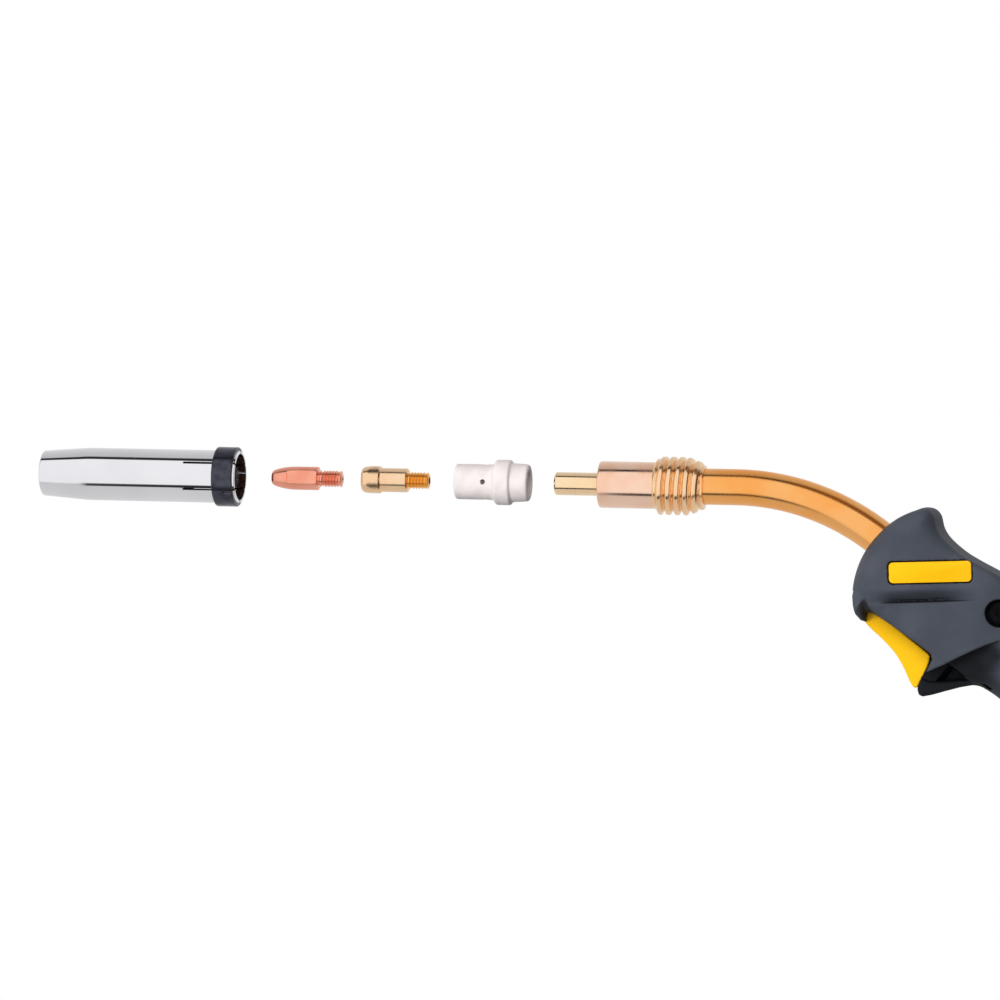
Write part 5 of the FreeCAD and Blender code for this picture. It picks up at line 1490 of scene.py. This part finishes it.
@dataclass
class Handle:
    """Both moulded halves of the handle, with the bulb, cheeks, scoop, finger guard and grip."""

    arc_centre: Point = (30.0, -2.1)
    arc_radius: float = 31.45
    top_line: tuple[Point, ...] = (
        (4.7, 16.8), (6.1, 18.4), (8.2, 19.35), (10.8, 18.7), (14.25, 16.0), (18.4, 14.6), (25.0, 14.2),
        (30.9, 14.9), (38.5, 16.2), (50.0, 17.5), (64.0, 18.2), (95.0, 17.2), (125.0, 16.0), (150.0, 16.9),
        (167.1, 17.4), (178.0, 17.4))
    under_line: tuple[Point, ...] = (
        (178.0, -17.4), (167.1, -17.4), (150.0, -16.9), (125.0, -16.0), (107.0, -17.0), (88.0, -18.0),
        (75.0, -17.4), (64.9, -16.95), (58.0, -17.5), (50.0, -18.4), (39.0, -19.0), (30.0, -19.3),
        (20.0, -20.3), (12.0, -21.5))
    guard: tuple[Point, ...] = (
        (39.4, -20.0), (39.6, -23.0), (40.2, -27.7), (41.6, -31.4), (43.2, -32.6), (44.6, -32.4),
        (46.7, -30.0), (49.6, -26.0), (52.6, -22.0), (55.6, -18.6), (57.6, -16.4), (59.0, -13.5),
        (57.0, -12.0), (40.0, -12.0))
    tongue: tuple[Point, ...] = ((37.0, -17.5), (38.7, -18.9), (39.9, -20.0), (40.6, -23.0), (41.0, -27.0),
                                 (46.5, -25.5), (50.5, -17.5))
    lip: tuple[Point, ...] = ((9.5, -10.5), (4.3, -10.5), (3.4, -13.0), (3.3, -15.0), (5.7, -19.9),
                              (7.9, -22.3), (10.2, -24.1), (12.6, -24.9), (14.4, -24.4), (12.4, -21.5),
                              (10.3, -15.2))
    bulb_half: float = 21.0
    crown: float = 0.6
    nose_crown: float = 3.1
    nose_along: Point = (4.0, 30.0)
    nose_up: Point = (-1.0, 11.0)
    grip_along: Point = (40.0, 66.0)
    edge_knots: tuple[Point, ...] = ((0.0, 4.0), (8.0, 5.5), (16.0, 5.5), (27.0, 2.2), (36.0, 2.2),
                                     (50.0, 4.0), (66.0, 11.0), (90.0, 13.0), (140.0, 14.0), (166.0, 16.9))
    rim_edge: float = 1.3
    rim_down: Point = (6.0, 15.0)
    rim_along: Point = (50.0, 60.0)
    grip_end: float = 167.1
    tail: Point = (160.0, 181.1)
    tail_radius: float = 16.0
    width_knots: tuple[Point, ...] = ((30.0, 20.92), (64.0, 17.2), (125.0, 16.4), (167.0, 17.4))
    crease_spot: Point = (14.0, -16.2)
    crease_slope: float = math.radians(40.0)
    crease_depth: float = 3.8
    crease_round: float = 4.6
    crease_curve: float = 1.35
    crease_rise: Point = (0.0, 9.0)
    crease_fall: Point = (13.0, 37.0)
    groove_depth: float = 1.75
    groove_across: tuple[Point, Point] = ((-0.3, 0.5), (0.7, 4.2))
    groove_along: tuple[Point, Point] = ((-3.0, 7.0), (20.0, 40.0))
    facet_line: tuple[Point, ...] = ((12.0, -19.0), (13.4, -17.2), (17.1, -14.8), (27.7, -14.9),
                                     (30.2, -16.0), (33.3, -17.0), (37.5, -18.0), (39.0, -19.0))
    facet_along: tuple[Point, Point] = ((11.0, 14.0), (34.0, 38.5))
    facet_dip: float = 1.7
    facet_height: float = 4.6
    cheek_rear: tuple[Point, ...] = ((38.5, -34.0), (39.6, -28.0), (40.5, -25.5), (43.9, -19.0),
                                     (47.1, -12.2), (50.5, -5.7), (53.9, -0.5), (57.0, 3.5))
    cheek_slant: float = 0.82
    scoop_depth: float = 9.0
    scoop_down: Point = (-1.0, 10.0)
    scoop_flank: Point = (0.3, 1.0)
    scoop_spread: tuple[Point, ...] = ((0.0, 3.0), (3.0, 6.0), (12.0, 17.0), (20.0, 26.0), (32.0, 32.0))
    waist: float = 12.2
    pocket: tuple[Point, ...] = ((41.2, -18.0), (40.9, -27.6), (43.0, -27.0), (46.6, -24.2), (51.4, -19.7),
                                 (54.5, -17.0), (54.5, -14.0), (44.0, -14.0))
    pocket_floor: tuple[Point, ...] = ((44.8, 8.0), (46.8, 4.0))
    pocket_brim: float = 13.2
    pocket_top: Point = (-18.6, -17.4)
    wall: float = 2.8
    front_room: Point = (3.8, 38.5)
    grip_room: float = 59.0
    throat: Box = ((36.0, 61.0), (-10.0, 10.0), (-16.2, 11.9))
    inlet_start: float = 161.9
    inlet_radius: float = 13.85
    pads: tuple[Box, ...] = (((10.5, 21.6), (9.1, 17.2), (-6.0, 6.0)),
                             ((17.2, 29.2), (3.0, 17.2), (-17.9, -12.2)),
                             ((31.0, 36.0), (0.0, 17.2), (-17.4, -16.0)),
                             ((150.0, 158.0), (0.0, 4.0), (-15.2, -12.7)))
    pin_boss: float = 2.8
    pin_bore: float = 1.3
    screw_boss: float = 3.2
    screw_seat: float = 6.0
    guard_half: float = 8.9
    lip_half: float = 19.0
    lip_taper: float = 1.6
    lip_taper_along: Point = (9.5, 15.5)
    slot_half: float = 7.35
    slot_room: tuple[Point, ...] = ((8.3, -16.0), (10.6, -21.0), (13.25, -26.0), (13.3, -40.0),
                                    (38.5, -40.0), (38.5, -16.0))
    swing_radius: float = 31.7
    swing_along: Point = (37.5, 55.0)
    swing_up: Point = (-32.0, -16.0)
    neck_end: float = 12.0
    neck_radius: float = 6.4
    plates: LabelPlates = field(default_factory=LabelPlates)
    label_gap: float = 0.42
    label_floor: float = 19.6
    screws: tuple[tuple[Point, float], ...] = (((47.9, 6.3), 12.4), ((104.0, 10.0), 7.6),
                                               ((150.0, 10.0), 7.6))
    recess_radius: float = 4.65
    hole_edge: float = 0.4
    slot_edge: float = 0.35
    label_edge: float = 0.15
    parting: float = 0.02
    parting_edge: float = 0.3
    grip_edge: float = 0.8
    cheek_edge: float = 0.6
    guard_edge: float = 1.5
    lip_edge: float = 3.5
    pocket_edge: float = 1.0
    tongue_blend: float = 0.4
    guard_blend: float = 1.4
    cheek_blend: float = 0.2
    lip_blend: float = 1.5
    tail_blend: float = 0.3
    label_corner: float = 1.6
    rib_cover: float = 0.6
    pin_boss_across: Point = (7.4, 17.2)
    main: list[Point] = field(default_factory=list)

    def __post_init__(self) -> None:
        """Join the lines of the side view to one closed outline."""
        self.main = (arc(self.arc_centre, self.arc_radius, 213.0, 146.0) + flowing(self.top_line)
                     + flowing(self.under_line, 4))

    def half_width(self, s: np.ndarray, t: np.ndarray) -> np.ndarray:
        """Half width of the handle's side at a place of the side view, without the scoop.

        Args:
            s: Place along the handle's axis.
            t: Height square to that axis.

        Returns:
            The half width at each place.
        """
        ahead, above = turned(s - self.crease_spot[0], t - self.crease_spot[1], self.crease_slope)
        fade = (0.5 + 0.5 * ease(ahead, *self.crease_rise)) * (1 - ease(ahead, *self.crease_fall))
        below = np.clip(1 - above / self.crease_round, 0, 1)
        undercut = self.crease_depth * fade * below ** self.crease_curve
        groove = self.groove_depth * swell(above, *self.groove_across) * swell(ahead, *self.groove_along)
        below = np.clip((between(s, self.facet_line) - t) / self.facet_height, 0, 1.2)
        dip = self.facet_dip * below * swell(s, *self.facet_along)
        return through(s, self.width_knots) - (undercut + groove) - dip

    def behind_cheek(self, s: np.ndarray, t: np.ndarray) -> np.ndarray:
        """Distance behind the cheek's rear edge."""
        places, heights = zip(*flowing(self.cheek_rear))
        return self.cheek_slant * (s - np.interp(t, heights, places))

    def outside(self, s: np.ndarray, y: np.ndarray, t: np.ndarray) -> np.ndarray:
        """Field of the handle's outer form.

        Args:
            s: Place along the handle's axis.
            y: Cross place.
            t: Height square to that axis.

        Returns:
            The field's value at each place.
        """
        side = np.abs(y)
        edge = through(s, self.edge_knots)
        rim = np.minimum(edge, self.rim_edge) - edge
        edge = edge + rim * ease(-t, *self.rim_down) * (1 - ease(s, *self.rim_along))
        nose = (1 - ease(s, *self.nose_along)) * (self.crown + self.nose_crown * (1 - ease(t, *self.nose_up)))
        crown = self.crown + nose - self.crown * ease(s, *self.grip_along)
        plan = outline_field(self.main, s, t) + crown * (side / self.bulb_half) ** 2
        width = self.half_width(s, t)
        behind = self.behind_cheek(s, t)
        depth = np.minimum(self.scoop_depth * ease(-t, *self.scoop_down), width - self.waist)
        scoop = depth * (1 - ease(behind / between(-t, self.scoop_spread), *self.scoop_flank))
        rest = common(plan, side - (width - scoop), edge)
        rest = common(rest, s - self.grip_end, self.grip_edge)
        cheek_plan = joined(plan, outline_field(self.tongue, s, t), self.tongue_blend)
        cheek = common(common(cheek_plan, side - width, edge), behind, self.cheek_edge)
        guard = common(outline_field(self.guard, s, t), side - self.guard_half, self.guard_edge)
        start, end = self.lip_taper_along
        lip_side = side - self.lip_half + self.lip_taper * np.clip(s - start, 0, end - start)
        lip = common(outline_field(self.lip, s, t), lip_side, self.lip_edge)
        tail = np.maximum(np.hypot(y, t) - self.tail_radius, slab(s, *self.tail))
        floor = between(s, self.pocket_floor)
        floor = floor + (self.pocket_brim - floor) * ease(t, *self.pocket_top)
        pocket = np.maximum(outline_field(self.pocket, s, t), floor - side)
        body = common(joined(rest, guard, self.guard_blend), -pocket, self.pocket_edge)
        body = joined(joined(body, cheek, self.cheek_blend), lip, self.lip_blend)
        return joined(body, tail, self.tail_blend)

    def rooms(self, s: np.ndarray, y: np.ndarray, t: np.ndarray, outside: np.ndarray) -> np.ndarray:
        """Field of the rooms inside.

        Args:
            s: Place along the handle's axis.
            y: Cross place.
            t: Height square to that axis.
            outside: Value of the outer form's field there.

        Returns:
            The field's value at each place.
        """
        inset = outside + self.wall
        front = np.maximum(inset, slab(s, *self.front_room))
        grip = np.maximum(inset, self.grip_room - s)
        inlet = np.maximum(np.hypot(y, t) - self.inlet_radius, self.inlet_start - s)
        return reduce(np.minimum, (front, grip, brick(s, y, t, *self.throat), inlet))

    def ribs(self, s: np.ndarray, y: np.ndarray, t: np.ndarray) -> np.ndarray:
        """Field of the pads, seats and bosses inside one half.

        Args:
            s: Place along the handle's axis.
            y: Cross place.
            t: Height square to that axis.

        Returns:
            The field's value at each place.
        """
        side = np.abs(y)
        found = [brick(s, side, t, *pad) for pad in self.pads]
        found.append(rod(s, side, t, TRIGGER_PIN, self.pin_boss, self.pin_boss_across))
        for spot, floor in self.screws:
            found.append(rod(s, side, t, spot, self.screw_boss, (0, floor + 1)))
            if floor < 10:
                found.append(rod(s, side, t, spot, self.screw_seat, (floor - 2.4, 15.4)))
        return reduce(np.minimum, found)

    def slot(self, s: np.ndarray, y: np.ndarray, t: np.ndarray) -> np.ndarray:
        """Field of the trigger's slot and of the arc that its rear end swings through.

        Args:
            s: Place along the handle's axis.
            y: Cross place.
            t: Height square to that axis.

        Returns:
            The field's value at each place.
        """
        swing = np.hypot(s - TRIGGER_PIN[0], t - TRIGGER_PIN[1]) - self.swing_radius
        swing = reduce(np.maximum, (swing, slab(s, *self.swing_along), slab(t, *self.swing_up)))
        room = np.minimum(outline_field(self.slot_room, s, t), swing)
        return np.maximum(room, np.abs(y) - self.slot_half)

    def label_recess(self, s: np.ndarray, y: np.ndarray, t: np.ndarray) -> np.ndarray:
        """Field of the label plate's recess.

        Args:
            s: Place along the handle's axis.
            y: Cross place.
            t: Height square to that axis.

        Returns:
            The field's value at each place.
        """
        plates = self.plates
        run, rise = turned(s - plates.spot[0], t - plates.spot[1], plates.turn)
        length, height = plates.length / 2 + self.label_gap, plates.height / 2 + self.label_gap
        plan = common(np.abs(run) - length, np.abs(rise) - height, self.label_corner)
        return np.maximum(plan, self.label_floor - np.abs(y))

    def half(self, screws: bool) -> Field:
        """Field of the left half, y below zero.

        Args:
            screws: Whether the half has the screws' recesses.

        Returns:
            The field.
        """
        def form(s: np.ndarray, y: np.ndarray, t: np.ndarray) -> np.ndarray:
            """Field of the left half.

            Args:
                s: Place along the handle's axis.
                y: Cross place.
                t: Height square to that axis.

            Returns:
                The field's value at each place.
            """
            outside = self.outside(s, y, t)
            shell = np.maximum(outside, -self.rooms(s, y, t, outside))
            shell = np.minimum(shell, np.maximum(self.ribs(s, y, t), outside + self.rib_cover))
            shell = common(shell, -self.slot(s, y, t), self.slot_edge)
            neck = np.maximum(np.hypot(y, t) - self.neck_radius, s - self.neck_end)
            shell = common(shell, -neck, self.hole_edge)
            shell = common(shell, -self.label_recess(s, y, t), self.label_edge)
            shell = np.maximum(shell, -rod(s, np.abs(y), t, TRIGGER_PIN, self.pin_bore, (-1, 9.6)))
            for spot, floor in self.screws if screws else ():
                recess = rod(s, -y, t, spot, self.recess_radius, (floor, 30.0))
                shell = common(shell, -recess, self.hole_edge)
            return common(shell, y + self.parting, self.parting_edge)
        return form

    def build(self) -> None:
        """Make both shells."""
        spaces = (steps_through((-3.0, 8.0, 0.5), (8.0, 36.0, 0.4), (36.0, 66.0, 0.5), (66.0, 164.0, 1.4),
                                 (164.0, 170.0, 0.6), (170.0, 183.0, 1.3)),
                  steps_through((-22.0, 0.6, 0.5)), steps_through((-34.0, -8.0, 0.5), (-8.0, 14.0, 0.4),
                                                                  (14.0, 20.6, 0.5)))
        for node, screws in (("handle_shell_left", True), ("handle_shell_right", False)):
            skin = moulded_skin(node.replace("shell", "half"), self.half(screws), spaces, LAYOUT.handle,
                                not screws)
            dress(skin, SLATE, "torch", node)


@dataclass
class Trigger:
    """Yellow trigger with a hook, a hollow back and rounded edges."""

    bar: tuple[Point, ...] = ((11.4, -22.4), (11.6, -20.8), (13.0, -19.9), (22.6, -19.8), (36.6, -19.9),
                              (38.4, -20.8), (39.3, -22.5), (40.1, -25.4), (40.9, -29.4), (41.2, -31.1),
                              (40.3, -31.8), (37.9, -31.0), (33.5, -28.7), (29.5, -27.1), (26.3, -26.3),
                              (21.4, -25.6), (16.8, -25.3), (14.1, -24.8), (12.5, -23.9))
    stem: tuple[Point, ...] = ((12.5, -24.0), (12.5, -19.9), (38.0, -19.9), (38.6, -24.0))
    half: float = 7.0
    skin: float = 1.7
    edge: float = 0.5
    stem_inset: float = 1.8
    room_front: float = 16.0
    room_rear: float = 38.4
    room_up: Point = (-23.6, -10.0)
    ear_blend: float = 0.3
    inlay: float = 0.3
    press_level: float = -21.5
    press_proud: float = 3.0
    ear: float = 2.8
    pin_bore: float = 1.25
    press: Box = ((24.8, 26.4), (-1.0, 6.0), (-25.4, -19.75))
    seat: tuple[Point, Point] = ((30.2, 36.6), (-27.5, -25.4))

    def form(self, s: np.ndarray, y: np.ndarray, t: np.ndarray) -> np.ndarray:
        """Field of the trigger.

        Args:
            s: Place along the handle's axis.
            y: Cross place.
            t: Height square to that axis.

        Returns:
            The field's value at each place.
        """
        side = np.abs(y)
        plan = outline_field(flowing([*self.bar, self.bar[0]], 5), s, t)
        bar = common(plan, side - self.half, self.edge)
        stem_half = self.half - self.stem_inset
        stem = np.maximum(outline_field(self.stem, s, t), side - stem_half)
        ear = rod(s, side, t, TRIGGER_PIN, self.ear, (-1, self.half - self.edge))
        body = joined(np.minimum(bar, stem), ear, self.ear_blend)
        room = reduce(np.maximum, (plan + self.skin, side - (self.half - self.skin), self.room_front - s))
        above = brick(s, side, t, (self.room_front, self.room_rear - self.skin),
                      (-1, stem_half - self.skin), self.room_up)
        body = np.maximum(body, -np.minimum(room, above))
        press = brick(s, side, t, *self.press)
        press = np.maximum(press, plan + self.inlay - self.press_proud * (t > self.press_level))
        body = np.minimum(body, press)
        along, up = self.seat
        seat = reduce(np.maximum, (slab(t, *up), slab(s, *along), plan + self.inlay, side - self.press[1][1]))
        return np.maximum(np.minimum(body, seat), -rod(s, side, t, TRIGGER_PIN, self.pin_bore, (-1, 10.0)))

    def build(self) -> None:
        """Make the trigger's skin."""
        spaces = (steps_through((9.0, 42.0, 0.35)), steps_through((-7.6, 7.6, 0.35)),
                  steps_through((-33.0, -14.8, 0.35)))
        skin = moulded_skin("trigger_skin", self.form, spaces, LAYOUT.handle)
        dress(skin, TRIGGER_YELLOW, "trigger_lever", "trigger")


@dataclass
class TriggerSpring:
    """Wound return spring of the trigger."""

    place: float = 33.5
    foot: float = -25.3
    seat: float = -17.5
    radius: float = 2.2
    wire: float = 0.3
    turns: float = 6.0
    pressed_share: float = 0.7
    steps: int = 180

    def build(self) -> None:
        """Make the spring."""
        share = np.linspace(0, 1, self.steps)
        turn = 2 * math.pi * self.turns * share
        rise = self.foot + self.wire + (self.seat - self.foot - 2 * self.wire) * share
        middle = np.stack([self.place + self.radius * np.cos(turn), self.radius * np.sin(turn), rise], 1)
        tangent = np.gradient(middle, axis=0)
        tangent /= np.linalg.norm(tangent, axis=1)[:, None]
        outward = np.stack([np.cos(turn), np.sin(turn), 0 * turn], axis=1)
        upward = np.cross(tangent, outward)
        theta = around(10)
        points = (middle[:, None] + self.wire * (np.cos(theta)[None, :, None] * outward[:, None]
                                                 + np.sin(theta)[None, :, None] * upward[:, None]))
        faces = row_faces(self.steps, len(theta), False)
        last = (self.steps - 1) * len(theta)
        faces += [tuple(reversed(range(len(theta)))), tuple(range(last, last + len(theta)))]
        coil = mesh_object("trigger_coil", LAYOUT.handle(*points.reshape(-1, 3).T), faces)
        dress(coil, SPRING_STEEL, "torch", "trigger_spring")
        anchor = LAYOUT.handle(np.array(self.place), np.array(0.0), np.array(self.seat))
        LAYOUT.handle_direction(0, 1)
        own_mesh(coil)


# Studio


@dataclass
class Studio:
    """Camera, soft lamps, banded surroundings and a pale floor."""

    aim: Spot = (-0.27696, 0.0, 0.11995)
    distance: float = 1.47315
    azimuth: float = math.radians(11.0)
    roll: float = math.radians(1.23)
    lens: float = 153.72
    floor_height: float = -0.20
    floor_radius: float = 0.9
    sky_below: Colour = (0.20, 0.20, 0.21)
    sky_above: Colour = (0.38, 0.38, 0.38)
    bands: tuple[Point, ...] = ((0.0, 0.78), (0.20, 0.72), (0.358, 0.68), (0.370, 0.98), (0.50, 1.0),
                                (0.60, 1.0), (0.705, 1.0), (0.715, 0.56), (0.78, 0.62), (0.93, 0.80))
    low_strip: float = -48.5
    high_strip: float = 76.0
    strip_ends: tuple[Colour, Colour] = ((0.025, 0.025, 0.03), (0.22, 0.13, 0.05))
    far_end: Colour = (0.10, 0.06, 0.03)
    lamps: tuple[tuple[str, Spot, float, float], ...] = (
        ("key", (-0.3, -1.65, 0.85), 1.1, 19.5), ("fill", (-0.75, -0.75, -0.14), 0.5, 8.5),
        ("back", (-0.2, 1.4, 1.2), 1.0, 8.0))

    def place_camera(self) -> None:
        """Set the camera of the reference view."""
        look = Vector((-math.sin(self.azimuth), math.cos(self.azimuth), 0))
        level = Vector((math.cos(self.azimuth), math.sin(self.azimuth), 0))
        right = level * math.cos(self.roll) + Vector((0, 0, math.sin(self.roll)))
        up = right.cross(look)
        data = bpy.data.cameras.new("view")
        data.lens = self.lens
        data.sensor_width = 36.0
        camera = placed("view", data)
        turn = Matrix((right, up, -look)).transposed().to_4x4()
        camera.matrix_world = Matrix.Translation(Vector(self.aim) - look * self.distance) @ turn
        bpy.context.scene.camera = camera

    def light_world(self) -> None:
        """White backdrop, soft sky light, and dark strips that glossy metal shows as thin lines."""
        world = bpy.data.worlds.new("studio")
        world.use_nodes = True
        bpy.context.scene.world = world
        graph = Graph(world.node_tree)
        along, across, up = graph.parts(graph.signal("Generated", "ShaderNodeTexCoord"))
        height = graph.maths("ARCTAN2", up, across * -1.0) * (180 / math.pi)
        stops = [(place, (grey, grey, grey)) for place, grey in self.bands]
        bands = graph.signal("Color", "ShaderNodeValToRGB", {"stops": stops}, {"Fac": height / 360 + 0.5})
        low_strip = 1 - graph.maths("ABSOLUTE", height - self.low_strip).ease(4.5, 9.0)
        low_strip = low_strip * along.ease(-0.46, -0.26)
        reach = 5.0 + 10.0 * along.ease(-0.15, 0.45)
        high_strip = 1 - (graph.maths("ABSOLUTE", height - self.high_strip) - reach).ease(0.0, 4.0)
        strips = graph.mix(along.ease(-0.12, 0.3), *self.strip_ends)
        bands = graph.mix(along.ease(0.62, 0.86), bands, self.far_end)
        bands = graph.mix(graph.maths("MAXIMUM", low_strip, high_strip), bands, strips)
        sky = graph.mix(up.ease(-0.5, 0.7), self.sky_below, self.sky_above)
        rays = graph.node("ShaderNodeLightPath").outputs
        shine = graph.mix(Signal(graph, rays["Is Glossy Ray"]), sky, bands)
        seen = graph.maths("MAXIMUM", Signal(graph, rays["Is Camera Ray"]),
                           Signal(graph, rays["Is Transmission Ray"]))
        colour = graph.mix(seen, shine, (1.0, 1.0, 1.0))
        light = graph.signal("Background", "ShaderNodeBackground", {}, {"Color": colour, "Strength": 1.0})
        graph.node("ShaderNodeOutputWorld", {}, {"Surface": light})

    def hang_lamp(self, name: str, place: Spot, size: float, power: float) -> None:
        """Square soft lamp that faces the torch.

        Args:
            name: Name of the lamp.
            place: Its place in metres.
            size: Length of its side in metres.
            power: Power in watts.
        """
        data = bpy.data.lights.new(name, "AREA")
        data.shape = "SQUARE"
        data.size = size
        data.energy = power
        lamp = placed(name, data)
        lamp.location = place
        lamp.rotation_euler = (Vector(self.aim) - Vector(place)).to_track_quat("-Z", "Y").to_euler()
        lamp.visible_glossy = False

    def lay_floor(self) -> None:
        """Round pale floor well below the torch."""
        theta = around(96)
        points = np.stack([self.aim[0] + self.floor_radius * np.cos(theta), self.floor_radius * np.sin(theta),
                           np.full(len(theta), self.floor_height)], axis=1)
        floor = mesh_object("floor", points, [tuple(range(len(theta)))])
        floor.data.materials.append(PALE_FLOOR.make())
        floor.visible_diffuse = False
        floor.visible_glossy = False

    def build(self) -> None:
        """Set up the whole studio."""
        bpy.context.scene.view_settings.view_transform = "Standard"
        self.place_camera()
        self.light_world()
        for lamp in self.lamps:
            self.hang_lamp(*lamp)
        self.lay_floor()


def finish_nodes() -> None:
    """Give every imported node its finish."""
    for name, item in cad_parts.items():
        material = PAINTS.take(NODE_FINISHES[name])
        item.data.materials.clear()
        item.data.materials.append(material)


def main() -> None:
    """Build the torch's pieces in order."""
    logging.basicConfig(level=logging.INFO, format="%(name)s: %(message)s")
    Studio().build()
    finish_nodes()
    neck_tube = BentTube("neck_tube_skin", "outer_tube", NECK_ORANGE, "neck_copper", 6.2, 5.2, 26.6, 14.0)
    brass_tube = BentTube("brass_tube_skin", "inner_tube", TUBE_BRASS, "tube_brass", 3.95, 2.6, -15.5, 25.9,
                          chamfer=0.5, socket=3.05, socket_depth=9.0)
    for piece in (GasNozzle(), ClampRing(), ContactTip(), TipAdaptor(), GasDiffuser(), Sleeve(), neck_tube,
                  brass_tube, Handle(), Trigger(), TriggerSpring(), LabelPlates()):
        piece.build()
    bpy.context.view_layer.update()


if __name__ == "__main__":
    main()
